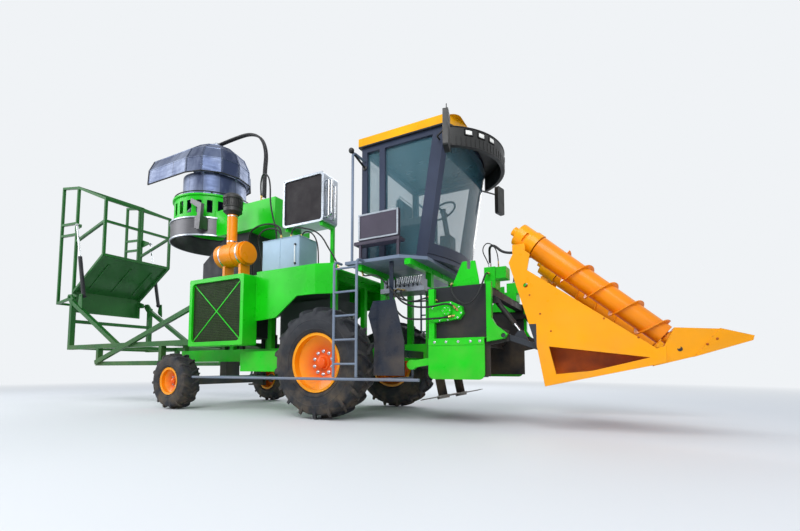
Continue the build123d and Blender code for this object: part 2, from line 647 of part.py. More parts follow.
def make_extractor_hood():
    with BuildPart() as hood:
        loft([hood_outline(z, r, HOOD_OUT) for z, r in HOOD_SECTIONS], ruled=True)
        inner = [(z, r - HOOD_SHEET) for z, r in HOOD_SECTIONS]
        inner[0] = (inner[0][0] - 1, inner[0][1])
        inner[-1] = (inner[-1][0] - HOOD_SHEET, inner[-1][1])
        loft([hood_outline(z, r, HOOD_OUT + 10) for z, r in inner], ruled=True, mode=Mode.SUBTRACT)
        # Neck and the spider that joins it to the hood
        tube_wall(EXTRACTOR_X, RING_TOP + RUNNING_GAP, NECK_TOP, NECK_R, 8)
        tube_wall(EXTRACTOR_X, RING_TOP + RUNNING_GAP, RING_TOP + 20, NECK_R + 70, 78)
        for turn in (-60, 0, 60):
            direction = (cos(radians(turn)), sin(radians(turn)))
            bar((EXTRACTOR_X + (NECK_R - 8) * direction[0], (NECK_R - 8) * direction[1], NECK_TOP - 40),
                (EXTRACTOR_X + 650 * direction[0], 650 * direction[1], NECK_TOP + 120),
                40, 20, flat=(-direction[1], direction[0], 0))
    keep(hood, "extractor_hood")
    with BuildPart() as motor:
        with Locations((EXTRACTOR_X, 0, HOOD_TOP + 30)):
            Cylinder(MOTOR_R, 60)
        rod((EXTRACTOR_X, 0, HOOD_TOP + 60), (EXTRACTOR_X, 0, HOOD_TOP + 110), 45)
        rod((EXTRACTOR_X, 0, FAN_Z + 89.5), (EXTRACTOR_X, 0, HOOD_TOP - HOOD_SHEET), 60)
    keep(motor, "fan_motor")
    with BuildPart() as fan:
        with Locations((EXTRACTOR_X, 0, FAN_Z + 15)):
            Cylinder(120, 148)
        for index in range(4):
            turn = radians(index * 90)
            blade = Plane(origin=(EXTRACTOR_X + 100 * cos(turn), 100 * sin(turn), FAN_Z),
                          x_dir=(-sin(turn), cos(turn), 0.5), z_dir=(cos(turn), sin(turn), 0))
            with BuildSketch(blade) as section:
                Rectangle(200, 12)
            extrude(section.sketch, amount=FAN_R - 100)
    keep(fan, "extractor_fan")


# Cab
def lean_x(z):
    """Front of the cab at a height: it leans ahead as it rises."""
    return CAB_FRONT_X + CAB_LEAN * (z - CAB_FLOOR) / (CAB_TOP - CAB_FLOOR)


def cab_plan(z, inset=0, front=None):
    """Plan of the cab at a height, with its bowed front."""
    ahead = (lean_x(z) if front is None else front) - inset
    half = CAB_HALF - inset
    rear = CAB_REAR_X + inset
    with BuildSketch(Plane.XY.offset(z)) as plan:
        with BuildLine():
            Polyline((ahead, -half), (rear, -half), (rear, half), (ahead, half))
            ThreePointArc((ahead, half), (ahead + CAB_BOW, 0), (ahead, -half))
        make_face()
    return plan.sketch


SILL = 130
HEADER = 70
DOOR_THICK = 40
DOOR_RIM = 55
A_PILLAR = 150


def bow_out(y):
    """How far the bowed front lies ahead of its corners at y."""
    radius = (CAB_HALF ** 2 + CAB_BOW ** 2) / (2 * CAB_BOW)
    return sqrt(radius ** 2 - y ** 2) - (radius - CAB_BOW)


def front_pillar(side, z_low, z_high):
    """Leaning pillar between the side pane and the windscreen."""
    inner = CAB_HALF - PILLAR
    sections = []
    for z in (z_low, z_high):
        ahead = lean_x(z)
        with BuildSketch(Plane.XY.offset(z)) as level:
            Polygon((ahead - A_PILLAR, side * CAB_HALF), (ahead, side * CAB_HALF),
                    (ahead + bow_out(inner), side * inner), (ahead - A_PILLAR, side * inner), align=None)
        sections.append(level.sketch)
    loft(sections, ruled=True)


def front_shell(z_low, z_high, thick):
    """Bowed skin between the front pillars."""
    inner = CAB_HALF - PILLAR
    loft([cab_plan(z_low), cab_plan(z_high)], ruled=True)
    loft([cab_plan(z_low, thick), cab_plan(z_high, thick)], ruled=True, mode=Mode.SUBTRACT)
    reach = (CAB_REAR_X - 5, CAB_FRONT_X + CAB_LEAN + 400)
    for side in (-1, 1):
        block(reach, (side * inner, side * (CAB_HALF + 5)), (z_low - 1, z_high + 1), mode=Mode.SUBTRACT)
    block((CAB_REAR_X - 5, CAB_FRONT_X), (-inner - 1, inner + 1), (z_low - 1, z_high + 1), mode=Mode.SUBTRACT)


HINGE_Z = (2300, 3150)
HINGE_R = 12
HINGE_LONG = 60
HINGE_X = CAB_DOOR_X + PILLAR / 2 + DOOR_GAP / 2
HINGE_Y = CAB_HALF + HINGE_R + 0.5


def hinge_knuckle(z_low, reach):
    """Round knuckle with the leaf that screws to the door or its pillar."""
    with Locations((HINGE_X, HINGE_Y, z_low + HINGE_LONG / 2)):
        Cylinder(HINGE_R, HINGE_LONG)
    block((HINGE_X, HINGE_X + reach), (CAB_HALF, CAB_HALF + 8), (z_low, z_low + HINGE_LONG))


def make_cab_frame():
    rear_sill = 620
    top = CAB_TOP - HEADER
    inner = CAB_HALF - PILLAR
    with BuildPart() as cab:
        front_shell(CAB_FLOOR, CAB_FLOOR + SILL, 40)
        extrude(cab_plan(CAB_FLOOR - CAB_FLOOR_THICK), amount=CAB_FLOOR_THICK)
        for side in (-1, 1):
            front_pillar(side, CAB_FLOOR, top)
            for x in (CAB_REAR_X + PILLAR / 2, CAB_DOOR_X):
                block(span(x, PILLAR), (side * inner, side * CAB_HALF), (CAB_FLOOR, top))
        # Rear wall below its window
        block((CAB_REAR_X, CAB_REAR_X + 40), (-inner, inner), (CAB_FLOOR, CAB_FLOOR + rear_sill))
        # Header ring under the roof
        extrude(cab_plan(top), amount=HEADER)
        extrude(cab_plan(top, PILLAR), amount=HEADER, mode=Mode.SUBTRACT)
        for z in HINGE_Z:
            hinge_knuckle(z - HINGE_LONG, -40)
    keep(cab, "cab_frame")


def pane_outline(gap, z_low, z_high):
    """Side pane ahead of the door pillar, with its leaning front edge."""
    rear = CAB_DOOR_X + PILLAR / 2 + gap
    return [(rear, z_low), (lean_x(z_low) - A_PILLAR - gap, z_low),
            (lean_x(z_high) - A_PILLAR - gap, z_high), (rear, z_high)]


def make_cab_glass():
    low = CAB_FLOOR + SILL
    high = CAB_TOP - HEADER
    with BuildPart() as glass:
        front_shell(low, high, GLASS)
        # Right pane, rear quarter panes and rear window
        pane_y = CAB_HALF - PILLAR / 2
        slab(pane_outline(0, CAB_FLOOR, high), -pane_y, GLASS)
        for side in (-1, 1):
            block((CAB_REAR_X + PILLAR, CAB_DOOR_X - PILLAR / 2), span(side * pane_y, GLASS), (CAB_FLOOR, high))
        block((CAB_REAR_X + 17, CAB_REAR_X + 23), (-CAB_HALF + PILLAR, CAB_HALF - PILLAR), (CAB_FLOOR + 620, high))
    keep(glass, "cab_glass")


def make_door():
    low = CAB_FLOOR + DOOR_GAP
    high = CAB_TOP - HEADER - DOOR_GAP
    y = CAB_HALF - DOOR_THICK / 2
    outer = pane_outline(DOOR_GAP, low, high)
    inner = [(outer[0][0] + DOOR_RIM, low + DOOR_RIM), (outer[1][0] - DOOR_RIM, low + DOOR_RIM),
             (outer[2][0] - DOOR_RIM, high - DOOR_RIM), (outer[3][0] + DOOR_RIM, high - DOOR_RIM)]
    with BuildPart() as door:
        slab(outer, y, DOOR_THICK)
        slab(inner, y, DOOR_THICK, mode=Mode.SUBTRACT)
        for z in HINGE_Z:
            hinge_knuckle(z + RUNNING_GAP, 40)
        # Pull handle near the front edge
        grip_x = lean_x(2700) - A_PILLAR - DOOR_GAP - DOOR_RIM / 2
        block(span(grip_x, 26), (CAB_HALF, CAB_HALF + 34), (2640, 2660))
        block(span(grip_x, 26), (CAB_HALF + 20, CAB_HALF + 34), (2560, 2740))
    keep(door, "door_frame")
    with BuildPart() as pane:
        slab(inner, y, GLASS)
    keep(pane, "door_glass")


ROOF_OVER = 35


def make_roof():
    with BuildPart() as roof:
        extrude(cab_plan(CAB_TOP, -ROOF_OVER), amount=ROOF_EDGE)
        with BuildSketch(Plane.XY.offset(ROOF_CROWN)) as crown:
            with Locations((CAB_REAR_X + 700, 0)):
                RectangleRounded(900, 2 * CAB_HALF - 360, 120)
        with BuildSketch(Plane.XY.offset(CAB_TOP + ROOF_EDGE)) as shoulder:
            with Locations((CAB_REAR_X + 680, 0)):
                RectangleRounded(1340, 2 * CAB_HALF - 20, 120)
        loft([shoulder.sketch, crown.sketch], ruled=True)
    keep(roof, "cab_roof")


MIRROR_Y = 1130
MIRROR_X = FRONT_AXLE_X + 1790


def mirror_solids():
    arm_x = lean_x(3420) - 45
    face_x = MIRROR_X - 20
    for side in (-1, 1):
        bent_rod([(arm_x, side * CAB_HALF, 3420), (arm_x, side * (CAB_HALF + 80), 3420),
                  (face_x, side * (MIRROR_Y - 60), 3380), (face_x, side * MIRROR_Y, 3300)], 11, 25)
        with BuildSketch(Plane(origin=(MIRROR_X, side * MIRROR_Y, 3300), x_dir=(0.25, side, 0),
                               z_dir=(-1, side * 0.25, 0))) as face:
            RectangleRounded(200, 430, 25)
        extrude(face.sketch, amount=30, both=True)


VISOR_OUT = 280
VISOR_LOW = 3330


def visor_plan(z, inset):
    ahead = lean_x(CAB_TOP) + ROOF_OVER
    with BuildSketch(Plane.XY.offset(z)) as plan:
        with BuildLine():
            Polyline((ahead - 60, CAB_HALF - inset), (ahead - 60, -CAB_HALF + inset))
            ThreePointArc((ahead - 60, -CAB_HALF + inset), (ahead + CAB_BOW + VISOR_OUT - inset, 0),
                          (ahead - 60, CAB_HALF - inset))
        make_face()
    return plan.sketch


LAMP_TURNS = (20, 32, 44)


def visor_lamps():
    """Work lamps in shallow pockets, whose turns are about the centre of the visor's bow."""
    half = CAB_HALF
    ahead = lean_x(CAB_TOP) + ROOF_OVER - 60
    rise = CAB_BOW + VISOR_OUT + 60
    radius = (half ** 2 + rise ** 2) / (2 * rise)
    for turn in [side * turn for side in (-1, 1) for turn in LAMP_TURNS]:
        way = (cos(radians(turn)), sin(radians(turn)), 0)
        origin = (ahead + rise - radius + radius * way[0], radius * way[1], VISOR_LOW + 185)
        face = Plane(origin=origin, x_dir=(-way[1], way[0], 0), z_dir=way)
        with BuildSketch(face.offset(12)) as pocket:
            RectangleRounded(124, 92, 14)
        extrude(pocket.sketch, amount=-30, mode=Mode.SUBTRACT)
        with BuildSketch(face.offset(-19)) as lens:
            RectangleRounded(96, 64, 10)
        extrude(lens.sketch, amount=15)


def make_visor():
    """Bowed light bar ahead of the roof, open below, and the two mirrors."""
    bow_gap = 4
    with BuildPart() as visor:
        extrude(visor_plan(VISOR_LOW, 0), amount=CAB_TOP - VISOR_LOW)
        extrude(visor_plan(VISOR_LOW, 45), amount=CAB_TOP - VISOR_LOW - 30, mode=Mode.SUBTRACT)
        extrude(cab_plan(VISOR_LOW, -bow_gap, front=lean_x(CAB_TOP)), amount=CAB_TOP - VISOR_LOW,
                mode=Mode.SUBTRACT)
        visor_lamps()
        mirror_solids()
    keep(visor, "visor_and_mirrors")


SEAT_X = CAB_REAR_X + 430
SEAT_Z = CAB_FLOOR + 430


def make_seat_cushions():
    with BuildPart() as cushions:
        block(span(SEAT_X + 20, 500), span(0, 500), (SEAT_Z - 109.7, SEAT_Z + 10))
        slab([(SEAT_X - 240, SEAT_Z + 40), (SEAT_X - 130, SEAT_Z + 40), (SEAT_X - 190, SEAT_Z + 640),
              (SEAT_X - 270, SEAT_Z + 640)], 0, 460)
        fillet(cushions.edges().filter_by(Axis.Y), 30)
    keep(cushions, "seat_cushions")


STEER_HUB = (CAB_REAR_X + 835, 0, CAB_FLOOR + 795)


def make_cab_interior():
    """Seat box, steering column with its wheel, and the armrest console."""
    column_x = CAB_REAR_X + 900
    with BuildPart() as inside:
        block(span(SEAT_X, 320), span(0, 320), (CAB_FLOOR, CAB_FLOOR + 200))
        block((SEAT_X - 300, SEAT_X + 240), span(0, 480), (CAB_FLOOR + 200, SEAT_Z - 110))
        slab([(SEAT_X - 300, SEAT_Z - 110), (SEAT_X - 240.4, SEAT_Z - 110), (SEAT_X - 240.4, SEAT_Z + 40),
              (SEAT_X - 253.4, SEAT_Z + 300), (SEAT_X - 300, SEAT_Z + 300)], 0, 300)
        block(span(column_x, 150), span(0, 200), (CAB_FLOOR, CAB_FLOOR + 420))
        rod((column_x, 0, CAB_FLOOR + 420), STEER_HUB, 35)
        tilted = Plane(origin=STEER_HUB, x_dir=(0, 1, 0), z_dir=(-0.45, 0, 0.89))
        with BuildSketch(tilted) as hub:
            Circle(45)
            Rectangle(370, 30)
        extrude(hub.sketch, amount=20)
        with BuildSketch(Plane(origin=tilted.origin, x_dir=(0, 1, 0), z_dir=tilted.y_dir)) as grip:
            with Locations((185, -10)):
                Circle(14)
        revolve(grip.sketch, axis=Axis(tilted.origin, tilted.z_dir))
        # Armrest console with its lever
        block((SEAT_X - 150, SEAT_X + 350), (-430, -290), (CAB_FLOOR, CAB_FLOOR + 620))
        rod((SEAT_X + 260, -360, CAB_FLOOR + 620), (SEAT_X + 290, -360, CAB_FLOOR + 760), 16)
    keep(inside, "cab_interior")


# Platforms, ladders and rails
LADDER_Y = 1250
LADDER_X = (FRONT_AXLE_X + 350, FRONT_AXLE_X + 680)
LADDER_FOOT = 540
RUNG_Z = (700, 990, 1280, 1570, 1860)
HANDRAIL_X = FRONT_AXLE_X + 490
HANDRAIL_TOP = 3400
CONDENSER_X = (FRONT_AXLE_X + 600, FRONT_AXLE_X + 1160)
CONDENSER_Z = (2220, 2545)
RAIL_BAR_Z = 520
RAIL_BAR_Y = 1290
RAIL_BAR_X = (FRONT_AXLE_X - 2200, FRONT_AXLE_X + 1520)


def make_platforms():
    rear = FRONT_AXLE_X + 400
    plan = [(rear, -PLATFORM_Y), (FRONT_AXLE_X + 1170, -PLATFORM_Y), (CAB_FRONT_X + 30, -CAB_HALF - 60),
            (CAB_FRONT_X + 30, CAB_HALF + 60), (FRONT_AXLE_X + 1170, PLATFORM_Y), (rear, PLATFORM_Y)]
    with BuildPart() as platform:
        with BuildSketch(Plane.XY.offset(ARM_TOP)) as outline:
            Polygon(*plan, align=None)
        extrude(outline.sketch, amount=PLATFORM_THICK)
        for side in (-1, 1):
            y = side * (PLATFORM_Y - 25)
            bent_rod([(HANDRAIL_X, y, PLATFORM_TOP), (HANDRAIL_X, y, HANDRAIL_TOP),
                      (HANDRAIL_X, side * (CAB_HALF + 1), HANDRAIL_TOP)], 17, 60)
    keep(platform, "platforms")


def make_ladders_and_rails():
    with BuildPart() as ladders:
        for side in (-1, 1):
            for x in LADDER_X:
                bent_rod([(x, side * LADDER_Y, LADDER_FOOT), (x, side * LADDER_Y, ARM_TOP + 15),
                          (x, side * (PLATFORM_Y + 0.3), ARM_TOP + 15)], 17, 60)
            for z in RUNG_Z:
                rod((LADDER_X[0], side * LADDER_Y, z), (LADDER_X[1], side * LADDER_Y, z), 13)
            # Low guard rail along the flank
            rod((RAIL_BAR_X[0], side * RAIL_BAR_Y, RAIL_BAR_Z), (RAIL_BAR_X[1], side * RAIL_BAR_Y, RAIL_BAR_Z), 17)
            for x in (-1950, -1300, 1000):
                bent_rod([at(x, side * RAIL_Y, RAIL_BOTTOM), at(x, side * RAIL_Y, RAIL_BAR_Z),
                          at(x, side * RAIL_BAR_Y, RAIL_BAR_Z)], 17, 60)
    keep(ladders, "ladders_and_rails")


def make_condenser():
    y = -PLATFORM_Y + 30
    with BuildPart() as condenser:
        block(CONDENSER_X, span(y, 50), CONDENSER_Z)
        for x in (CONDENSER_X[0] + 15, CONDENSER_X[1] - 15):
            block(span(x, 30), span(y, 30), (PLATFORM_TOP, CONDENSER_Z[0]))
        block((CONDENSER_X[0] - 70, CONDENSER_X[1] + 10), (y - 25, y + 120),
              (CONDENSER_Z[0] - 50, CONDENSER_Z[0] - 10))
        block((CONDENSER_X[0] + 30, CONDENSER_X[1] - 30), span(y, 60), (CONDENSER_Z[0] + 20, CONDENSER_Z[1] - 20))
    keep(condenser, "condenser")


def make_wheel_shields():
    face = [at(770, 0, 560)[::2], at(1190, 0, 560)[::2], at(1190, 0, 960)[::2], at(1060, 0, 1470)[::2],
            at(760, 0, 1470)[::2], at(690, 0, 1300)[::2], at(780, 0, 1000)[::2]]
    with BuildPart() as shields:
        for side in (-1, 1):
            slab(face, side * 1000, 16)
            block((FRONT_AXLE_X + 1000, FRONT_AXLE_X + 1180), (side * RAIL_OUT, side * 992), (780, 860))
            block((FRONT_AXLE_X + 990, FRONT_AXLE_X + 1040), span(side * 1000, 16), (1470, ARM_TOP))
    keep(shields, "wheel_shields")


# Front frame, roller and base cutter
THROAT_Y = 880
THROAT_WALL = 20
THROAT_X = (FRONT_AXLE_X + 1440, FRONT_AXLE_X + 2180)
GREEN_Y = THROAT_Y + THROAT_WALL / 2
LINK_Y = 840
LINK_PIN_R = 25
EYE_PIN_R = 12


def make_feed_throat():
    """Dark side plates, their cross tubes and the foot that carries the dividers."""
    plate = [(THROAT_X[0], 560), (THROAT_X[1], 560), (THROAT_X[1], 900), (DIVIDER_PIVOT_X + 45, 940),
             (DIVIDER_PIVOT_X + 45, 1050), (THROAT_X[1], 1130), (THROAT_X[1], 1580), (THROAT_X[0], 1580)]
    with BuildPart() as throat:
        for side in (-1, 1):
            slab(plate, side * THROAT_Y, THROAT_WALL)
        inner = THROAT_Y - THROAT_WALL / 2
        for x in (THROAT_X[0] + 60, THROAT_X[1] - 60):
            block(span(x, 90), (-inner, inner), (1480, 1570))
        block((RAIL_FRONT_X, RAIL_FRONT_X + 90), (-inner, inner), (RAIL_BOTTOM, RAIL_TOP))
        # Hinge bores for the divider links
        for side in (-1, 1):
            cross_rod(DIVIDER_PIVOT_X, DIVIDER_PIVOT_Z, side * 800, side * 960, LINK_PIN_R + 0.3, mode=Mode.SUBTRACT)
            # Lug for the lift cylinder's head
            block((THROAT_X[1] - 100, LIFT_HEAD[0] + 35), (side * (CYLINDER_Y + 36), side * (CYLINDER_Y + 50)),
                  span(LIFT_HEAD[1], 70))
            block((THROAT_X[1] - 100, THROAT_X[1] - 20), (side * (CYLINDER_Y + 36), side * inner),
                  span(LIFT_HEAD[1], 70))
            cross_rod(*LIFT_HEAD, side * (CYLINDER_Y - 40), side * (CYLINDER_Y + 60), 12.3, mode=Mode.SUBTRACT)
    keep(throat, "feed_throat")


def make_front_frame():
    post_depth = 60
    with BuildPart() as green:
        for side in (-1, 1):
            near = side * GREEN_Y
            far = side * (GREEN_Y + post_depth)
            block((POST_REAR_X, POST_REAR_X + 70), (near, far), (SKIRT_TOP - 40, 1560))
            middle = side * (GREEN_Y + post_depth / 2)
            foot = [(POST_FRONT_X, 935), (POST_FRONT_X + 190, 965), (POST_FRONT_X + 225, 1010),
                    (POST_FRONT_X + 100, 1110), (POST_FRONT_X + 55, 1190), (POST_FRONT_X + 55, 1590),
                    (POST_FRONT_X, 1590)]
            slab(foot, middle, post_depth)
            # Skirt with rounded lower corners and a folded top
            with BuildSketch(Plane.XZ.offset(-side * (GREEN_Y + post_depth))) as skirt:
                with Locations(((POST_REAR_X + POST_FRONT_X - 20) / 2, (SKIRT_TOP + SKIRT_BOTTOM) / 2)):
                    RectangleRounded(POST_FRONT_X - 20 - POST_REAR_X, SKIRT_TOP - SKIRT_BOTTOM, 70)
            extrude(skirt.sketch, amount=-side * 14)
            block((POST_REAR_X, POST_FRONT_X - 20), (near, side * (GREEN_Y + post_depth + 14)),
                  (SKIRT_TOP - 14, SKIRT_TOP))
            # Slotted bracket on the upper cross tube
            bracket = [at(1729, 0, 1575)[::2], at(1735, 0, 1490)[::2], at(2063, 0, 1470)[::2],
                       at(2050, 0, 1640)[::2], at(2011, 0, 1860)[::2], at(1960, 0, 1862)[::2],
                       at(1955, 0, 1770)[::2], at(1915, 0, 1770)[::2], at(1912, 0, 1862)[::2],
                       at(1861, 0, 1861)[::2]]
            slab(bracket, side * (THROAT_Y - 35), 24)
            block((FRONT_AXLE_X + 1500, FRONT_AXLE_X + 2120), (side * (THROAT_Y - 23), side * (THROAT_Y - 47)),
                  (1570, 1590))
            # Drive cover, its nose and the pivot arm
            cover = [at(1500, 0, 1190)[::2], at(1560, 0, 1170)[::2], at(1850, 0, 1200)[::2],
                     at(1900, 0, 1260)[::2], at(1880, 0, 1340)[::2], at(1760, 0, 1400)[::2],
                     at(1560, 0, 1390)[::2], at(1500, 0, 1360)[::2]]
            slab(cover, side * (GREEN_Y + post_depth / 2 + 5), post_depth + 10)
            cross_rod(ROLLER_X - 90, 1290, far, side * (GREEN_Y + 110), 55)
            slab([at(1254, 0, 650)[::2], at(1500, 0, 690)[::2], at(1500, 0, 770)[::2], at(1254, 0, 735)[::2]],
                 middle, post_depth)
            cross_rod(FRONT_AXLE_X + 1254, 690, near, far, 58)
            cross_rod(DIVIDER_PIVOT_X, DIVIDER_PIVOT_Z, side * 800, side * 960, LINK_PIN_R + 0.3,
                      mode=Mode.SUBTRACT)
        # Gear housings on the front cross tube
        for side in (-1, 1):
            block((FRONT_AXLE_X + 2050, FRONT_AXLE_X + 2180), (side * 420, side * 640), (1570, 1820))
            block((FRONT_AXLE_X + 2180, FRONT_AXLE_X + 2300), (side * 440, side * 620), (1680, 1815))
    keep(green, "front_frame")


def make_roller():
    reach = THROAT_Y - THROAT_WALL / 2
    with BuildPart() as roller:
        cross_rod(ROLLER_X, ROLLER_Z, -reach + 12, reach - 12, ROLLER_R - 55)
        cross_rod(ROLLER_X, ROLLER_Z, -reach + 0.3, reach - 0.3, 45)
        for index in range(6):
            turn = radians(index * 60)
            plane = Plane(origin=(ROLLER_X, 0, ROLLER_Z), x_dir=(cos(turn), 0, sin(turn)), z_dir=(0, 1, 0))
            with BuildSketch(plane) as fin:
                with Locations((ROLLER_R - 38, 0)):
                    Rectangle(76, 14)
            extrude(fin.sketch, amount=reach - 60, both=True)
    keep(roller, "knockdown_roller")


CUTTER_LEG_R = 60


def make_base_cutter():
    lean = radians(CUTTER_TILT)
    with BuildPart() as box:
        block((CUTTER_X - 190, CUTTER_X + 60), (-560, 560), (640, RAIL_BOTTOM))
        for side in (-1, 1):
            foot = (CUTTER_X, side * CUTTER_Y, CUTTER_Z)
            head = (CUTTER_X - tan(lean) * 400, side * CUTTER_Y, CUTTER_Z + 400)
            gap = 8
            start = (foot[0] - sin(lean) * gap, foot[1], foot[2] + cos(lean) * gap)
            rod(start, head, CUTTER_LEG_R)
    keep(box, "base_cutter")
    for side, name in ((-1, "cutter_disc_right"), (1, "cutter_disc_left")):
        plane = Plane(origin=(CUTTER_X, side * CUTTER_Y, CUTTER_Z), x_dir=(cos(lean), 0, sin(lean)),
                      z_dir=(-sin(lean), 0, cos(lean)))
        with BuildPart() as disc:
            with BuildSketch(plane) as plate:
                Circle(CUTTER_DISC_R - 50)
                with PolarLocations(CUTTER_DISC_R - 60, 6):
                    Rectangle(120, 80)
            extrude(plate.sketch, amount=-10)
            with BuildSketch(plane) as hub:
                Circle(80)
            extrude(hub.sketch, amount=7.5)
            extrude(hub.sketch, amount=-35)
        keep(disc, name)


# Crop dividers, their scrolls and lift cylinders
CYLINDER_Y = 775
LIFT_HEAD = (FRONT_AXLE_X + 2226, 1398)
LIFT_EYE = (FRONT_AXLE_X + 2497, 1023)
LINK_END = (FRONT_AXLE_X + 2720, 850)
DIVIDER_INNER_Y = 720
TUBE_END = 12


def divider_points(pairs):
    return [(FRONT_AXLE_X + x, z) for x, z in pairs]


SCROLL_AXIS = Vector(SCROLL_FOOT[0] - SCROLL_TOP[0], 0, SCROLL_FOOT[1] - SCROLL_TOP[1])
SCROLL_WAY = SCROLL_AXIS.normalized()
NOSE_REAR = (3690, 668, 3858, 1010)
NOSE_SEAM = (4020, 757, 4205, 987)
NOSE_TIP = (4420, 885, 4430, 925)
HOUSING_LONG = 265


def nose_loft(middle, stations):
    """Pointed box through leaning rectangles: x and z of the lower and upper edge, and the width."""
    sections = []
    for x_low, z_low, x_high, z_high, width in stations:
        origin = (FRONT_AXLE_X + (x_low + x_high) / 2, middle, (z_low + z_high) / 2)
        with BuildSketch(Plane(origin=origin, x_dir=(0, 1, 0), z_dir=(z_high - z_low, 0, x_low - x_high))) as level:
            Rectangle(width, sqrt((x_high - x_low) ** 2 + (z_high - z_low) ** 2))
        sections.append(level.sketch)
    loft(sections, ruled=True)


def divider_sheets(side):
    upper = divider_points([(2412, 1761), (2498, 1942), (2630, 1830), (2600, 1664), (3721, 825),
                            (3790, 850), (3790, 752), (3700, 742), (2670, 884)])
    leg = divider_points([(2675, 900), (2790, 900), (2860, 590), (2751, 467)])
    skid = divider_points([(2751, 467), (2860, 590), (3190, 625), (3690, 752), (3790, 790), (3790, 698)])
    inner = divider_points([(2480, 1500), (2640, 1625), (3280, 1100), (3560, 860), (3790, 840),
                            (3790, 740), (2860, 560), (2751, 520)])
    for outline in (upper, leg, skid):
        slab(outline, side * DIVIDER_Y, DIVIDER_SHEET)
    slab(inner, side * DIVIDER_INNER_Y, DIVIDER_SHEET)
    # Drain hole through the outer sheet
    cross_rod(FRONT_AXLE_X + 2581, 1505, side * (DIVIDER_Y - 30), side * (DIVIDER_Y + 30), 24, mode=Mode.SUBTRACT)
    # Rear bulkhead, sole, cradle under the scroll: x, z to x, z with their depth
    middle = side * (DIVIDER_INNER_Y + DIVIDER_Y) / 2
    between = DIVIDER_Y - DIVIDER_INNER_Y
    for start, end, deep in (((2690, 860), (2760, 500), 20), ((2757, 490), (3790, 716), 20),
                             ((2660, 1605), (3280, 1095), 10), ((3280, 1095), (3560, 870), 10)):
        first, last = divider_points([start, end])
        bar((first[0], middle, first[1]), (last[0], middle, last[1]), between, deep)
    # Folded lip along the upper edge of the outer sheet
    first, last = divider_points([(2790, 1514), (3600, 908)])
    lip = side * (DIVIDER_Y - 30)
    bar((first[0], lip, first[1]), (last[0], lip, last[1]), 50, 10)


def divider_head(side):
    """Slotted housing at the scroll's top and its foot bearing."""
    top = Vector(SCROLL_TOP[0], side * SCROLL_Y, SCROLL_TOP[1])
    back = top - SCROLL_WAY * HOUSING_LONG
    rod(tuple(back), tuple(top - SCROLL_WAY * 90), SCROLL_R)
    rod(tuple(top - SCROLL_WAY * 90), tuple(top - SCROLL_WAY * TUBE_END), SCROLL_R + 10)
    rod(tuple(back - SCROLL_WAY * 75), tuple(back), 50)
    block((FRONT_AXLE_X + 2450, FRONT_AXLE_X + 2580), (side * (SCROLL_Y - 20), side * DIVIDER_Y), (1860, 1950))
    slot = top - SCROLL_WAY * 150 + Vector(0, side * SCROLL_R, 0)
    with BuildSketch(Plane(origin=slot, x_dir=(-SCROLL_WAY.Z, 0, SCROLL_WAY.X), z_dir=(0, side, 0))) as window:
        SlotOverall(110, 34)
    extrude(window.sketch, amount=30, both=True, mode=Mode.SUBTRACT)
    foot = Vector(SCROLL_FOOT[0], side * SCROLL_Y, SCROLL_FOOT[1])
    rod(tuple(foot + SCROLL_WAY * TUBE_END), tuple(foot + SCROLL_WAY * 150), 60)


def divider_link(side):
    pivot = (DIVIDER_PIVOT_X, side * LINK_Y, DIVIDER_PIVOT_Z)
    bar(pivot, (LINK_END[0], side * LINK_Y, LINK_END[1]), 40, 60)
    cross_rod(DIVIDER_PIVOT_X, DIVIDER_PIVOT_Z, side * (LINK_Y - 25), side * (LINK_Y + 25), 42)
    cross_rod(DIVIDER_PIVOT_X, DIVIDER_PIVOT_Z, side * (LINK_Y + 25), side * (THROAT_Y + 60), LINK_PIN_R)
    # Ear and pin for the lift rod
    ear = divider_points([(2420, 985), (2470, 1050), (2525, 1050), (2580, 930)])
    slab(ear, side * (LINK_Y - 25), 30)
    cross_rod(*LIFT_EYE, side * (LINK_Y - 25), side * (CYLINDER_Y - 20), EYE_PIN_R)


def make_dividers():
    low, high = DIVIDER_INNER_Y - DIVIDER_SHEET / 2, DIVIDER_Y + DIVIDER_SHEET / 2
    with BuildPart() as dividers:
        for side in (-1, 1):
            divider_sheets(side)
            middle = side * (low + high) / 2
            nose_loft(middle, ((*NOSE_REAR, high - low), (*NOSE_SEAM, 150)))
            nose_loft(middle, ((NOSE_SEAM[0] - 20, NOSE_SEAM[1] - 8, NOSE_SEAM[2] - 14, NOSE_SEAM[3] + 6, 166),
                               (*NOSE_TIP, 50)))
            divider_head(side)
            divider_link(side)
    keep(dividers, "dividers")


SCROLL_PITCH = 287
SCROLL_TURNS = 4
FLIGHT_START = 276
FLIGHT_THICK = 10
FLIGHT_BURIED = 10
SCROLL_TAPER = degrees(atan2(SCROLL_R - SCROLL_FOOT_R, SCROLL_AXIS.length))


def scroll_flight(side):
    """Helical flight that follows the tapered tube and turns outboard over its top."""
    root = SCROLL_R - FLIGHT_START * tan(radians(SCROLL_TAPER)) - FLIGHT_BURIED
    deep = SCROLL_FLIGHT + FLIGHT_BURIED
    with BuildPart() as flight:
        with BuildLine() as path:
            Helix(SCROLL_PITCH, SCROLL_PITCH * SCROLL_TURNS, root, cone_angle=-SCROLL_TAPER, lefthand=side < 0)
        with BuildSketch(Plane(origin=path.line @ 0, x_dir=(1, 0, 0), z_dir=path.line % 0)) as section:
            with Locations((deep / 2, 0)):
                Rectangle(deep, FLIGHT_THICK)
        sweep(section.sketch, path=path.line, is_frenet=True)
    return flight.part


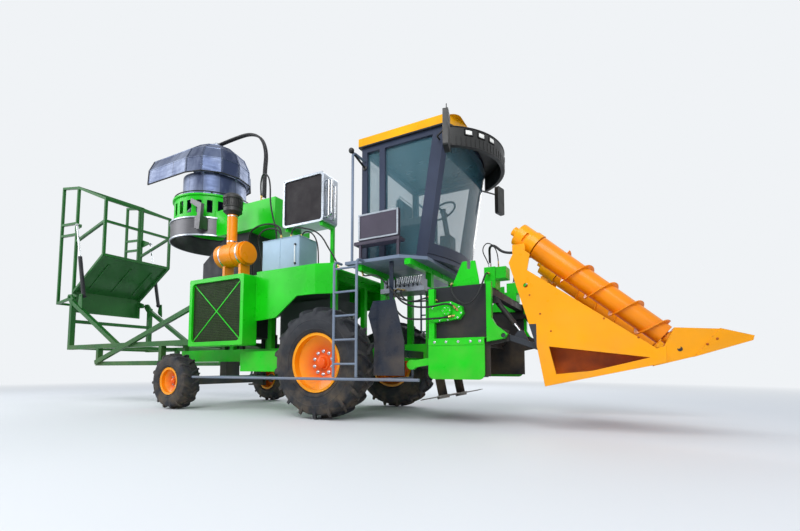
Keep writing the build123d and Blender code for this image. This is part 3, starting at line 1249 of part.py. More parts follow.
def make_scroll(side, name):
    top = Vector(SCROLL_TOP[0], side * SCROLL_Y, SCROLL_TOP[1])
    foot = Vector(SCROLL_FOOT[0], side * SCROLL_Y, SCROLL_FOOT[1])
    head = Plane(origin=top, x_dir=(-SCROLL_WAY.Z, 0, SCROLL_WAY.X), z_dir=SCROLL_WAY)
    with BuildPart() as scroll:
        with BuildSketch(head) as end:
            Circle(SCROLL_R)
        extrude(end.sketch, amount=SCROLL_AXIS.length, taper=SCROLL_TAPER)
        add(scroll_flight(side).moved(head.offset(FLIGHT_START).location))
        rod(tuple(top - SCROLL_WAY * (TUBE_END - 0.3)), tuple(top), 45)
        rod(tuple(foot), tuple(foot + SCROLL_WAY * (TUBE_END - 0.3)), 45)
    keep(scroll, name)


def cylinder_pair(head, eye, y, radius, rod_radius, body_length, play, names):
    """Barrels and rods of the two cylinders that work side by side; an eye without play is a plain boss."""
    start = Vector(head[0], 0, head[1])
    way = (Vector(eye[0], 0, eye[1]) - start).normalized()
    eye_r = radius * 0.9
    with BuildPart() as barrels:
        for side in (-1, 1):
            base = start + Vector(0, side * y, 0)
            with BuildSketch(along(tuple(base + way * eye_r * 0.5), tuple(base + way * body_length))) as bore:
                Circle(radius)
                Circle(rod_radius + 0.3, mode=Mode.SUBTRACT)
            extrude(bore.sketch, amount=body_length - eye_r * 0.5)
            rod(tuple(base + way * eye_r * 0.5), tuple(base + way * eye_r), radius)
            cross_rod(base.X, base.Z, base.Y - eye_r * 0.6, base.Y + eye_r * 0.6, eye_r)
            cross_rod(base.X, base.Z, base.Y - eye_r * 0.6 - 30, base.Y + eye_r * 0.6 + 30, radius * 0.4)
    keep(barrels, names[0])
    with BuildPart() as rods:
        for side in (-1, 1):
            base = start + Vector(0, side * y, 0)
            end = Vector(eye[0], side * y, eye[1])
            rod(tuple(base + way * eye_r * 1.5), tuple(end - way * rod_radius), rod_radius)
            cross_rod(end.X, end.Z, end.Y - rod_radius * 0.8, end.Y + rod_radius * 0.8, eye_r * 0.9)
            if play:
                cross_rod(end.X, end.Z, end.Y - rod_radius, end.Y + rod_radius, EYE_PIN_R + play,
                          mode=Mode.SUBTRACT)
    keep(rods, names[1])


# Rear frame and basket
SUPPORT_TOP = 2110
LOWER_BEAM_Z = 740
BRACE_HEAD = (FRONT_AXLE_X - 2575, 1740)
BRACE_Y = SUPPORT_HALF + SUPPORT_TUBE / 2 + 25
BRACE_FOOT = (FRONT_AXLE_X - 5700, 760)
BASKET_FOOT = (FRONT_AXLE_X - 6480, 2150)
BASKET_EYE = (FRONT_AXLE_X - 6905, 3740)
BASKET_CYL_Y = 800
BASKET_ROD_R = 20
EAR_PIN_END = BASKET_CYL_Y - BASKET_ROD_R - RUNNING
FLOOR_FRONT_Z = 3030
FLOOR_REAR_Z = 2330
LIP_LOW = 1870


def make_rear_frame():
    half = SUPPORT_TUBE / 2
    with BuildPart() as support:
        for side in (-1, 1):
            y = span(side * SUPPORT_HALF, SUPPORT_TUBE)
            block((SUPPORT_X - half, FRONT_AXLE_X - 2560), y, span(SUPPORT_Z, SUPPORT_TUBE))
            block(span(SUPPORT_X, SUPPORT_TUBE), y, (SUPPORT_Z, SUPPORT_TOP))
            bar((SUPPORT_X, side * SUPPORT_HALF, SUPPORT_TOP - 60),
                (FRONT_AXLE_X - 5080, side * SUPPORT_HALF, SUPPORT_Z), SUPPORT_TUBE - 10, SUPPORT_TUBE - 10)
            # Lower beam, its struts and the stub to the main rail
            block((BRACE_FOOT[0] - 60, FRONT_AXLE_X - 3660), y, span(LOWER_BEAM_Z, 80))
            for x in (BRACE_FOOT[0] - 20, FRONT_AXLE_X - 3700):
                block(span(x, 80), y, (LOWER_BEAM_Z, SUPPORT_Z))
            # Basket hinge
            hinge = [(SUPPORT_X - half - 10, SUPPORT_TOP - 120), (SUPPORT_X + half, SUPPORT_TOP - 120),
                     (SUPPORT_X + half, SUPPORT_TOP), (BASKET_PIVOT_X + 60, BASKET_PIVOT_Z + 55),
                     (BASKET_PIVOT_X - 55, BASKET_PIVOT_Z + 55), (BASKET_PIVOT_X - 55, BASKET_PIVOT_Z - 40)]
            slab(hinge, side * SUPPORT_HALF, 40)
            cross_rod(BASKET_PIVOT_X, BASKET_PIVOT_Z, side * 700, side * 900, 25.3, mode=Mode.SUBTRACT)
            # Cylinder foot on the diagonal
            foot = [(BASKET_FOOT[0] - 90, 2010), (BASKET_FOOT[0] - 60, 1960), (BASKET_FOOT[0] + 70, 1880),
                    (BASKET_FOOT[0] + 70, 1960), (BASKET_FOOT[0] + 45, BASKET_FOOT[1] + 40),
                    (BASKET_FOOT[0] - 45, BASKET_FOOT[1] + 40)]
            slab(foot, side * (BASKET_CYL_Y + 52), 16)
            cross_rod(*BASKET_FOOT, side * 750, side * 900, 15.5, mode=Mode.SUBTRACT)
            # Long brace and its lug on the screen box
            bar((BRACE_HEAD[0], side * BRACE_Y, BRACE_HEAD[1]), (BRACE_FOOT[0], side * BRACE_Y, BRACE_FOOT[1]),
                50, 80)
            block((BRACE_HEAD[0] - 30, SCREEN_REAR_X), span(side * BRACE_Y, 50), span(BRACE_HEAD[1], 80))
        for x, z in ((SUPPORT_X, SUPPORT_Z), (BRACE_FOOT[0] - 20, SUPPORT_Z), (FRONT_AXLE_X - 2600, SUPPORT_Z),
                     (FRONT_AXLE_X - 3700, SUPPORT_Z), (SUPPORT_X, 1640)):
            block(span(x, 70), (-SUPPORT_HALF, SUPPORT_HALF), span(z, 70))
        block(span(FRONT_AXLE_X - 3700, 70), (-SUPPORT_HALF, -RAIL_OUT), span(RAIL_BOTTOM + 20, 40))
        block(span(FRONT_AXLE_X - 3700, 70), (RAIL_OUT, SUPPORT_HALF), span(RAIL_BOTTOM + 20, 40))
        # Feet on the main rails
        for x in (FRONT_AXLE_X - 2600, RAIL_REAR_X + 45):
            for side in (-1, 1):
                block(span(x, 70), span(side * RAIL_Y, 80), (RAIL_TOP, SUPPORT_Z + 35))
        block(span(RAIL_REAR_X + 45, 70), (-SUPPORT_HALF, SUPPORT_HALF), span(SUPPORT_Z, 70))
    keep(support, "rear_frame")


def make_basket():
    tube = BASKET_TUBE
    front, rear, guard = BASKET_FRONT_X, BASKET_REAR_X, BASKET_GUARD_X
    top_front, top_rear, top_guard = 4210, 4680, 4790
    mid_front, mid_rear = 3720, 3430
    foot_guard = 2080
    with BuildPart() as basket:
        for side in (-1, 1):
            y = side * BASKET_HALF
            # Columns: from x, z to x, z
            for x0, z0, x1, z1 in ((front, FLOOR_FRONT_Z - 40, front, top_front),
                                   (rear, LIP_LOW, rear, top_rear),
                                   (guard, foot_guard, guard, top_guard),
                                   (front, top_front - 25, rear, top_rear - 25),
                                   (rear, top_rear - 25, guard, top_guard - 25),
                                   (front, mid_front, rear, mid_rear),
                                   (rear, 3850, guard, 3900), (rear, 3600, guard, 3640),
                                   (rear, 2200, guard, foot_guard + 25),
                                   (front, FLOOR_FRONT_Z - 30, rear, FLOOR_REAR_Z - 30)):
                bar((x0, y, z0), (x1, y, z1), tube, tube)
            # Hinge arm and pin
            arm = [(rear - 25, BASKET_PIVOT_Z - 40), (BASKET_PIVOT_X + 50, BASKET_PIVOT_Z - 50),
                   (BASKET_PIVOT_X + 50, BASKET_PIVOT_Z + 50), (rear - 25, BASKET_PIVOT_Z + 120)]
            slab(arm, side * (BASKET_HALF + 10), 30)
            cross_rod(BASKET_PIVOT_X, BASKET_PIVOT_Z, side * (BASKET_HALF + 20), side * (SUPPORT_HALF + 40), 25)
            # Ear that the lift rod pushes on
            ear = [(rear, BASKET_EYE[1] - 70), (BASKET_EYE[0] + 30, BASKET_EYE[1] - 30),
                   (BASKET_EYE[0] + 30, BASKET_EYE[1] + 30), (rear, BASKET_EYE[1] + 120)]
            slab(ear, side * (BASKET_HALF + 33), 16)
            cross_rod(*BASKET_EYE, side * (BASKET_HALF + 33), side * EAR_PIN_END, EYE_PIN_R)
        for x, z in ((front, top_front - 25), (front, mid_front), (front, FLOOR_FRONT_Z - 30),
                     (rear, top_rear - 25), (rear, LIP_LOW + 25), (guard, foot_guard + 25)):
            bar((x, -BASKET_HALF, z), (x, BASKET_HALF, z), tube, tube, flat=(0, 0, 1))
        bar((front, 0, FLOOR_FRONT_Z - 30), (front, 0, top_front - 25), tube, tube)
        # Sloping floor sheet and the lip below its rear edge
        half = BASKET_HALF
        middle_floor = [(front, FLOOR_FRONT_Z - 6), (rear, FLOOR_REAR_Z - 6), (rear, FLOOR_REAR_Z + 6),
                        (front, FLOOR_FRONT_Z + 6)]
        slab(middle_floor, 0, 2 * half)
        block(span(rear, 12), (-half, half), (LIP_LOW, FLOOR_REAR_Z))
    keep(basket, "basket")


# Hoses
HOSE_R = 20


def hose_radii(points):
    """Bend radii that use most of the shorter run at every corner."""
    radii = []
    for before, corner, after in zip(points, points[1:], points[2:]):
        first = Vector(*corner) - Vector(*before)
        second = Vector(*after) - Vector(*corner)
        half = radians(first.get_angle(second) / 2)
        radii.append(0.45 * min(first.length, second.length) / tan(half))
    return radii


def hose(points, radius):
    print("hose radii", [round(r) for r in hose_radii(points)])
    with BuildLine() as path:
        FilletPolyline(*points, radius=hose_radii(points))
    with BuildSketch(Plane(origin=path.line @ 0, z_dir=path.line % 0)) as section:
        Circle(radius)
    sweep(section.sketch, path=path.line)


HOOD_HOSE = [at(-3450, 0, 5045), at(-2950, 0, 5065), at(-2500, -60, 4990), at(-2130, -150, 4760),
             at(-1930, -230, 4400), at(-1880, -310, 4020), at(-1850, -340, 3740), at(-1850, -340, 3450.5)]
DIVIDER_HOSE = [at(2110, 600, 1820.2), at(2110, 600, 1938), at(2134, 705, 2037), at(2220, 817, 2019),
                at(2334, 830, 1900), at(2449.4, 830, 1900)]
HOSE_GAP = 46


def make_hoses():
    with BuildPart() as pair:
        for shift in (0, HOSE_GAP):
            hose([(x, y + shift, z) for x, y, z in HOOD_HOSE], HOSE_R)
    keep(pair, "hood_hoses")
    with BuildPart() as arcs:
        for side in (-1, 1):
            hose([(x, side * y, z) for x, y, z in DIVIDER_HOSE], HOSE_R * 0.7)
    keep(arcs, "divider_hoses")


def build_all():
    make_main_frame()
    make_front_axle()
    make_rear_axle()
    make_knuckle(-1, "knuckle_right")
    make_knuckle(1, "knuckle_left")
    for spec, where, bore_r in ((FRONT_WHEEL, "front", SPINDLE_R + RUNNING),
                                (REAR_WHEEL, "rear", REAR_SPINDLE_R + RUNNING)):
        for side, hand in ((-1, "right"), (1, "left")):
            make_rim(spec, side, bore_r, f"{where}_rim_{hand}")
            make_tyre(spec, side, f"{where}_tyre_{hand}")
    make_engine()
    make_valve_bank()
    make_side_panels()
    make_screen_mesh()
    make_oil_tank()
    make_radiator()
    make_air_cleaner()
    make_discharge_duct()
    make_extractor_base()
    make_extractor_ring()
    make_extractor_hood()
    make_cab_frame()
    make_cab_glass()
    make_door()
    make_roof()
    make_visor()
    make_seat_cushions()
    make_cab_interior()
    make_platforms()
    make_ladders_and_rails()
    make_condenser()
    make_wheel_shields()
    make_feed_throat()
    make_front_frame()
    make_roller()
    make_base_cutter()
    make_dividers()
    for side, hand in ((-1, "right"), (1, "left")):
        make_scroll(side, f"scroll_{hand}")
    cylinder_pair(LIFT_HEAD, LIFT_EYE, CYLINDER_Y, 30, 16, 330, 2.4, ("lift_barrels", "lift_rods"))
    make_rear_frame()
    make_basket()
    cylinder_pair(BASKET_FOOT, BASKET_EYE, BASKET_CYL_Y, 38, BASKET_ROD_R, 900, 0, ("basket_barrels", "basket_rods"))
    make_hoses()


build_all()
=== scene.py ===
# %% [markdown]
# # Sugarcane harvester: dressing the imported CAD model
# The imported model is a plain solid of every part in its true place. This lesson
# gives each part its finish and adds what is too small or too fine for the CAD:
# tread, bolts, trim, wires and hoses. Everything is in metres, +X runs ahead,
# +Y to the machine's left and +Z up.

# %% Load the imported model
from math import asin, cos, pi, radians, sin

import bmesh
import bpy
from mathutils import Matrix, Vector


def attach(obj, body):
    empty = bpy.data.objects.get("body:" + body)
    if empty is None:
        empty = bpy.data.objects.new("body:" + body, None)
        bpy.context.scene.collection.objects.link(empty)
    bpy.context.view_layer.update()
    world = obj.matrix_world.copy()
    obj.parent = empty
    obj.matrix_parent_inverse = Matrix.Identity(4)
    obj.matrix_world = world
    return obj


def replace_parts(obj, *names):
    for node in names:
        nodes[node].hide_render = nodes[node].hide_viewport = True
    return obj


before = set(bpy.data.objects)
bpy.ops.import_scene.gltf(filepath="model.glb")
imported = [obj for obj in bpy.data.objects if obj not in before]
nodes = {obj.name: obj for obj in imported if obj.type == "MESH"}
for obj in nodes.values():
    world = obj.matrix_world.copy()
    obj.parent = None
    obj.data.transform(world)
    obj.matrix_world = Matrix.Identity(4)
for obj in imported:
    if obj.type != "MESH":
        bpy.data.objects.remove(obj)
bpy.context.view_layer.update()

# %% Directions, and the front axle that every place is counted from
FRONT_AXLE = 1.6925
AHEAD, LEFT, UP = Vector((1, 0, 0)), Vector((0, 1, 0)), Vector((0, 0, 1))


def here(x, y, z):
    """A point given by its distance ahead of the front axle."""
    return Vector((FRONT_AXLE + x, y, z))


def around(turn):
    """Level direction at an angle from straight ahead."""
    return Vector((cos(turn), sin(turn), 0))


def put_in_scene(name, data):
    """A new object for a mesh, curve, lamp or camera."""
    thing = bpy.data.objects.new(name, data)
    bpy.context.scene.collection.objects.link(thing)
    return thing


def aim(thing, spot, way):
    """Stands a camera or lamp at a spot and turns it along a direction."""
    thing.location = spot
    thing.rotation_euler = way.to_track_quat("-Z", "Y").to_euler()


# %% [markdown]
# ## The camera
# The photograph was taken low, at the height of a kneeling person, close to the
# right front wheel, with a wide lens tipped slightly up. Most of the extra sky in
# the picture comes from the lens shift, so the posts stay almost upright.

# %% Camera
PICTURE = (800, 531)
FOCAL_PIXELS = 420
MIDDLE_ROW = 338
SENSOR = 36.0
TIPPED_UP = radians(4.1)
LOOK_AHEAD, LOOK_LEFT = -0.471, 0.882
lens_data = bpy.data.cameras.new("photo_camera")
lens_data.sensor_width = SENSOR
lens_data.lens = FOCAL_PIXELS / PICTURE[0] * SENSOR
lens_data.shift_y = (MIDDLE_ROW - PICTURE[1] / 2) / PICTURE[0]
lens_data.clip_end = 200
camera = put_in_scene("photo_camera", lens_data)
aim(camera, here(3.46, -5.36, 0.65),
    Vector((LOOK_AHEAD * cos(TIPPED_UP), LOOK_LEFT * cos(TIPPED_UP), sin(TIPPED_UP))))
bpy.context.scene.camera = camera
bpy.context.scene.view_settings.view_transform = "Standard"
print("lens", round(lens_data.lens, 2), "mm")

# %% [markdown]
# ## Mesh helpers
# Every added piece is built from a few honest shapes: a skin over rings of points,
# a bar or tube along a line, a turned profile, and a hexagon bolt head. Each
# helper adds its faces to one open mesh, so that a piece with forty bolts is
# still one object.

# %% Start and finish a piece
CREASE_ANGLE = radians(38)


def begin():
    return bmesh.new()


def finish_piece(mesh, name, finish, body="chassis", smooth=False):
    """Writes the mesh to a named object that moves with a body of the machine."""
    bmesh.ops.recalc_face_normals(mesh, faces=mesh.faces)
    data = bpy.data.meshes.new(name)
    mesh.to_mesh(data)
    mesh.free()
    for face in data.polygons:
        face.use_smooth = smooth
    piece = put_in_scene(name, data)
    data.materials.append(finish)
    if smooth:
        crease = piece.modifiers.new("crease", "EDGE_SPLIT")
        crease.split_angle = CREASE_ANGLE
    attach(piece, body)
    return piece


# %% Skins, bars, tubes and turned shapes


def frame_along(start, end, flat=LEFT):
    """Two directions across a line, the first as near to flat as it can be."""
    way = (end - start).normalized()
    across = flat - way * flat.dot(way)
    if across.length < 1e-4:
        across = AHEAD - way * way.x
    across.normalize()
    return way, across, way.cross(across)


def add_loops(mesh, loops, joined=False):
    """Skins rings of points one after another; the ends are capped, or joined to each other."""
    rings = [[mesh.verts.new(point) for point in loop] for loop in loops]
    count = len(rings[0])
    for low, high in zip(rings, rings[1:] + (rings[:1] if joined else [])):
        for index in range(count):
            after = (index + 1) % count
            mesh.faces.new((low[index], low[after], high[after], high[index]))
    if not joined:
        mesh.faces.new(rings[0])
        mesh.faces.new(rings[-1])


def add_bar(mesh, start, end, wide, deep, flat=LEFT):
    """Rectangular bar, its width along flat."""
    start, end = Vector(start), Vector(end)
    _, across, up = frame_along(start, end, Vector(flat))
    corners = ((-1, -1), (1, -1), (1, 1), (-1, 1))
    add_loops(mesh, [[at + across * (a * wide / 2) + up * (b * deep / 2) for a, b in corners]
                     for at in (start, end)])


def circle_points(centre, across, up, radius, sides):
    return [centre + across * (radius * cos(2 * pi * i / sides)) + up * (radius * sin(2 * pi * i / sides))
            for i in range(sides)]


def add_rod(mesh, start, end, radius, sides=16):
    """Round bar between two points."""
    _, across, up = frame_along(start, end)
    add_loops(mesh, [circle_points(at, across, up, radius, sides) for at in (start, end)])


def add_turned(mesh, centre, axis, profile, sides=48, joined=False):
    """Turns (distance along the axis, radius) pairs about the axis."""
    axis = Vector(axis).normalized()
    _, across, up = frame_along(centre, centre + axis)
    add_loops(mesh, [circle_points(centre + axis * along, across, up, max(radius, 1e-4), sides)
                     for along, radius in profile], joined)


def add_band(mesh, centre, axis, half, inner, outer, sides):
    """Flat band round an axis."""
    add_turned(mesh, centre, axis, ((-half, inner), (-half, outer), (half, outer), (half, inner)), sides)


def add_bolt(mesh, centre, axis, across_flats, high, washer=1.35):
    """Hexagon head on its washer, standing on a face at centre."""
    axis = Vector(axis).normalized()
    _, across, up = frame_along(centre, centre + axis)
    radius = across_flats / 2 / cos(pi / 6)
    add_loops(mesh, [circle_points(spot, across, up, radius * washer, 14)
                     for spot in (centre - axis * 0.001, centre + axis * high * 0.22)])
    add_loops(mesh, [circle_points(centre + axis * high * share, across, up, radius * size, 6)
                     for share, size in ((0.2, 1), (0.9, 1), (1, 0.86))])


def path_frames(points):
    """Directions across a smooth path that don't twist."""
    last = len(points) - 1
    ways = [(points[min(i + 1, last)] - points[max(i - 1, 0)]).normalized() for i in range(last + 1)]
    across = frame_along(Vector((0, 0, 0)), ways[0])[1]
    frames = []
    for way in ways:
        across = (across - way * across.dot(way)).normalized()
        frames.append((across, way.cross(across)))
    return frames


def add_tube(mesh, points, radius, sides=8):
    """Round tube along points."""
    add_loops(mesh, [circle_points(spot, across, up, radius, sides)
                     for spot, (across, up) in zip(points, path_frames(points))])


def rounded_path(points, radius):
    """Corners of a path replaced by arcs, for a bent pipe."""
    result = [points[0]]
    for before, corner, after in zip(points, points[1:], points[2:]):
        first, second = (before - corner).normalized(), (after - corner).normalized()
        half = first.angle(second) / 2
        reach = min(radius / max(sin(half) / cos(half), 1e-3), (before - corner).length * 0.49,
                    (after - corner).length * 0.49)
        start, end = corner + first * reach, corner + second * reach
        for t in (0, 0.2, 0.4, 0.6, 0.8, 1):
            result.append(start.lerp(corner, t).lerp(corner.lerp(end, t), t))
    result.append(points[-1])
    return result


print("mesh helpers ready")

# %% [markdown]
# ## Floor, world and lamps
# A machine this large is best seen under an open, overcast sky, so the light is
# one bright dome with a broad soft lamp from the camera's side. Plain light keeps
# every paint close to the colour it was mixed at. The floor is pale and fades
# into the background with distance, and it keeps the machine's shadow.

# %% Colours and shader nodes


def linear(red, green, blue):
    """A screen colour from 0 to 255 as the linear colour that shaders use."""
    parts = [c / 255 for c in (red, green, blue)]
    return tuple(c / 12.92 if c <= 0.04045 else ((c + 0.055) / 1.055) ** 2.4 for c in parts) + (1.0,)


def scaled(colour, factor):
    return tuple(min(c * factor, 1.0) for c in colour[:3]) + (1.0,)


def add_node(tree, kind, operation=None, **values):
    """A shader node with its operation and its inputs set."""
    node = tree.nodes.new("ShaderNode" + kind)
    if operation:
        node.operation = operation
    for name, value in values.items():
        node.inputs[name.replace("_", " ")].default_value = value
    return node


def link(tree, *pairs):
    """Links outputs to inputs, two by two."""
    for output, target in pairs:
        tree.links.new(output, target)


# %% World and floor
BACKGROUND = linear(240, 243, 246)
FLOOR_FADES = (7.5, 17.0)
FLOOR_RADIUS = 90
world = bpy.data.worlds.new("overcast_sky")
bpy.context.scene.world = world
world.use_nodes = True
sky = world.node_tree
sky.nodes.clear()
sky_out = add_node(sky, "OutputWorld")
seen = add_node(sky, "Background", Color=BACKGROUND)
light_of_sky = add_node(sky, "Background", Color=linear(226, 236, 250), Strength=0.62)
sky_mix = add_node(sky, "MixShader")
# 1 for rays that come from the camera, a mirror or a pane of glass
ray_kind = add_node(sky, "LightPath").outputs
first_sum, any_ray = add_node(sky, "Math", "ADD"), add_node(sky, "Math", "ADD")
any_ray.use_clamp = True
link(sky, (ray_kind["Is Camera Ray"], first_sum.inputs[0]), (ray_kind["Is Glossy Ray"], first_sum.inputs[1]),
     (first_sum.outputs[0], any_ray.inputs[0]), (ray_kind["Is Transmission Ray"], any_ray.inputs[1]),
     (any_ray.outputs[0], sky_mix.inputs[0]), (light_of_sky.outputs[0], sky_mix.inputs[1]),
     (seen.outputs[0], sky_mix.inputs[2]), (sky_mix.outputs[0], sky_out.inputs["Surface"]))

floor_finish = bpy.data.materials.new("pale_floor")
floor_finish.use_nodes = True
tree = floor_finish.node_tree
tree.nodes.clear()
floor_out = add_node(tree, "OutputMaterial")
floor_paint = add_node(tree, "BsdfPrincipled", Base_Color=linear(222, 224, 226), Roughness=0.85)
horizon = add_node(tree, "Emission", Color=BACKGROUND)
fade = add_node(tree, "MixShader")
place = add_node(tree, "NewGeometry")
reach = add_node(tree, "VectorMath", "LENGTH")
spread = add_node(tree, "MapRange", From_Min=FLOOR_FADES[0], From_Max=FLOOR_FADES[1])
link(tree, (place.outputs["Position"], reach.inputs[0]), (reach.outputs["Value"], spread.inputs["Value"]),
     (spread.outputs[0], fade.inputs[0]), (floor_paint.outputs[0], fade.inputs[1]),
     (horizon.outputs[0], fade.inputs[2]), (fade.outputs[0], floor_out.inputs["Surface"]))
floor_mesh = begin()
add_loops(floor_mesh, [circle_points(UP * z, AHEAD, LEFT, FLOOR_RADIUS, 64) for z in (0, -0.02)])
floor_data = bpy.data.meshes.new("studio_floor")
floor_mesh.to_mesh(floor_data)
floor_mesh.free()
floor_data.materials.append(floor_finish)
put_in_scene("studio_floor", floor_data)

# %% Lamps
# name, where, what it points at, size in metres, watts
for name, spot, target, size, watts in (
        ("key_lamp", here(3.5, -9.5, 8.5), here(-1.5, 0, 1.6), 7.0, 950),
        ("fill_lamp", here(-9.5, -6.0, 6.0), here(-3.0, 0, 2.0), 6.0, 420),
        ("rim_lamp", here(-2.0, 9.0, 8.0), here(-1.0, 0, 2.0), 7.0, 520)):
    lamp = bpy.data.lights.new(name, "AREA")
    lamp.size = size
    lamp.energy = watts
    aim(put_in_scene(name, lamp), spot, target - spot)
print("studio ready")

# %% [markdown]
# ## Paint, metal, rubber and glass
# Farm machines are sprayed with thick gloss enamel. It is a little uneven, it
# catches light on its rounded edges, it chips where tools knock it, and dust from
# the field settles low down. Every edge also gets a painted highlight, a lighter
# copy of the paint's colour. One recipe with a few knobs makes every colour of
# enamel, so all of them age in the same way. The Bevel node gives the light a
# rounded edge to catch without adding a single face.

# %% Shader helpers


class Recipe:
    """A material's node tree with short ways to add to it."""

    def __init__(self, finish):
        """Starts a finish by its name, or goes on with one made before."""
        if isinstance(finish, str):
            finish = bpy.data.materials.new(finish)
            finish.use_nodes = True
        self.finish = finish
        self.tree = finish.node_tree
        self.shader = self.tree.nodes["Principled BSDF"]
        self.place = add_node(self.tree, "TexCoord").outputs["Object"]

    def set(self, **sockets):
        for name, value in sockets.items():
            self.shader.inputs[name.replace("_", " ")].default_value = value

    def wire(self, source, target):
        """Links a socket, or writes a plain value."""
        if hasattr(source, "is_linked"):
            self.tree.links.new(source, target)
        else:
            target.default_value = source

    def noise(self, scale, detail=3.0, stretch=None):
        node = add_node(self.tree, "TexNoise", Scale=scale, Detail=detail, Roughness=0.55)
        place = self.place
        if stretch:
            mapping = add_node(self.tree, "Mapping", Scale=stretch)
            self.wire(place, mapping.inputs["Vector"])
            place = mapping.outputs[0]
        self.wire(place, node.inputs["Vector"])
        return node.outputs["Fac"]

    def remap(self, value, low, high, to_low=0.0, to_high=1.0):
        node = add_node(self.tree, "MapRange", From_Min=low, From_Max=high, To_Min=to_low, To_Max=to_high)
        self.wire(value, node.inputs["Value"])
        return node.outputs[0]

    def math(self, kind, first, second=0.0, clamp=False):
        node = add_node(self.tree, "Math", kind)
        node.use_clamp = clamp
        self.wire(first, node.inputs[0])
        self.wire(second, node.inputs[1])
        return node.outputs[0]

    def mix(self, factor, first, second):
        node = add_node(self.tree, "Mix")
        node.data_type = "RGBA"
        self.wire(factor, node.inputs["Factor"])
        self.wire(first, node.inputs[6])
        self.wire(second, node.inputs[7])
        return node.outputs[2]

    def cover(self, body, mask, share, colour):
        """A colour over the body where the mask is 1, as strong as its share."""
        return self.mix(self.math("MULTIPLY", mask, share), body, colour)

    def axis(self, letter):
        node = add_node(self.tree, "SeparateXYZ")
        self.wire(self.place, node.inputs[0])
        return node.outputs[letter]

    def rounded(self, radius=0.005):
        node = add_node(self.tree, "Bevel", Radius=radius)
        node.samples = 4
        return node.outputs["Normal"]

    def edge(self, rounded_normal):
        """1 on outer edges, 0 on flat faces."""
        flat = add_node(self.tree, "NewGeometry")
        dot = add_node(self.tree, "VectorMath", "DOT_PRODUCT")
        self.wire(rounded_normal, dot.inputs[0])
        self.wire(flat.outputs["Normal"], dot.inputs[1])
        return self.remap(dot.outputs["Value"], 0.998, 0.90)

    def bump(self, height, strength, distance=0.002, normal=None):
        node = add_node(self.tree, "Bump", Strength=strength, Distance=distance)
        self.wire(height, node.inputs["Height"])
        if normal:
            self.wire(normal, node.inputs["Normal"])
        self.wire(node.outputs[0], self.shader.inputs["Normal"])

    def colour(self, source):
        self.wire(source, self.shader.inputs["Base Color"])

    def roughness(self, source):
        self.wire(source, self.shader.inputs["Roughness"])

    def low_dirt(self, top, bottom, scale, low, high):
        """Where soil settles: patches that grow towards the ground."""
        return self.math("MULTIPLY", self.remap(self.axis("Z"), top, bottom),
                         self.remap(self.noise(scale, 5), low, high), True)


DUST = linear(150, 128, 96)
PRIMER = linear(74, 70, 66)


def enamel(name, colour, dust=0.4, rough=(0.24, 0.42), coat=0.35, shade=0.74, edge_highlight=1.35, dust_top=1.5):
    """Sprayed gloss paint that is uneven and dusty low down, with a painted highlight along its edges."""
    r = Recipe(name)
    r.set(Coat_Weight=coat * 0.5, Coat_Roughness=0.12, Specular_IOR_Level=0.22)
    body = r.mix(r.remap(r.noise(1.3, 4), 0.35, 0.65), scaled(colour, shade), colour)
    normal = r.rounded(0.006)
    edge = r.edge(normal)
    # Painted highlight: a lighter copy of the paint's colour along the rounded edges
    body = r.cover(body, edge, 0.55, scaled(colour, edge_highlight))
    chip = r.math("MULTIPLY", edge, r.remap(r.noise(22, 4), 0.56, 0.62), True)
    body = r.cover(body, chip, 0.6, PRIMER)
    settled = r.low_dirt(dust_top, 0.15, 3.2, 0.36, 0.68)
    r.colour(r.cover(body, settled, dust, DUST))
    gloss = r.remap(r.noise(7, 3), 0.3, 0.7, *rough)
    r.roughness(r.math("ADD", gloss, r.math("MULTIPLY", settled, 0.35), True))
    r.bump(r.noise(46, 3), 0.06, 0.0015, normal)
    return r.finish


def bare_metal(name, colour, rough=(0.22, 0.45), streak=(1, 1, 14), tarnish=0.35, metal=1.0):
    """Rolled or cast metal with streaks along one direction."""
    r = Recipe(name)
    r.set(Metallic=metal)
    lines = r.noise(9, 4, streak)
    normal = r.rounded(0.004)
    body = r.mix(r.remap(lines, 0.3, 0.7), scaled(colour, 0.72), colour)
    body = r.cover(body, r.remap(r.noise(2.4, 5), 0.5, 0.72), tarnish, scaled(colour, 0.3))
    # Painted highlight: a lighter copy of the metal's colour along its edges
    r.colour(r.cover(body, r.edge(normal), 0.5, scaled(colour, 1.3)))
    r.roughness(r.remap(lines, 0.25, 0.75, *rough))
    r.bump(r.noise(60, 3, streak), 0.10, 0.001, normal)
    return r.finish


def rubber(name, colour, dust, rough=(0.62, 0.88)):
    """Moulded rubber: matt, faintly grained, grey with dry soil, with a painted highlight along its edges."""
    r = Recipe(name)
    r.set(Specular_IOR_Level=0.35)
    normal = r.rounded(0.006)
    body = r.mix(r.remap(r.noise(2.0, 5), 0.35, 0.68), scaled(colour, 0.7), colour)
    # Painted highlight: a lighter copy of the rubber's colour along its edges
    body = r.cover(body, r.edge(normal), 0.4, scaled(colour, 1.9))
    r.colour(r.cover(body, r.low_dirt(1.2, 0.1, 6, 0.4, 0.66), dust, scaled(DUST, 0.75)))
    r.roughness(r.remap(r.noise(11, 3), 0.3, 0.7, *rough))
    r.bump(r.noise(90, 3), 0.16, 0.001, normal)
    return r.finish


def moulded(name, colour, rough=(0.42, 0.6), grain=220):
    """Grained plastic for trim, lamps and consoles."""
    r = Recipe(name)
    normal = r.rounded(0.004)
    body = r.mix(r.remap(r.noise(3, 3), 0.35, 0.65), scaled(colour, 0.8), colour)
    # Painted highlight: a lighter copy of the plastic's colour along its edges
    r.colour(r.cover(body, r.edge(normal), 0.35, scaled(colour, 2.0)))
    r.roughness(r.remap(r.noise(8, 2), 0.3, 0.7, *rough))
    r.bump(r.noise(grain, 2), 0.18, 0.0006, normal)
    return r.finish


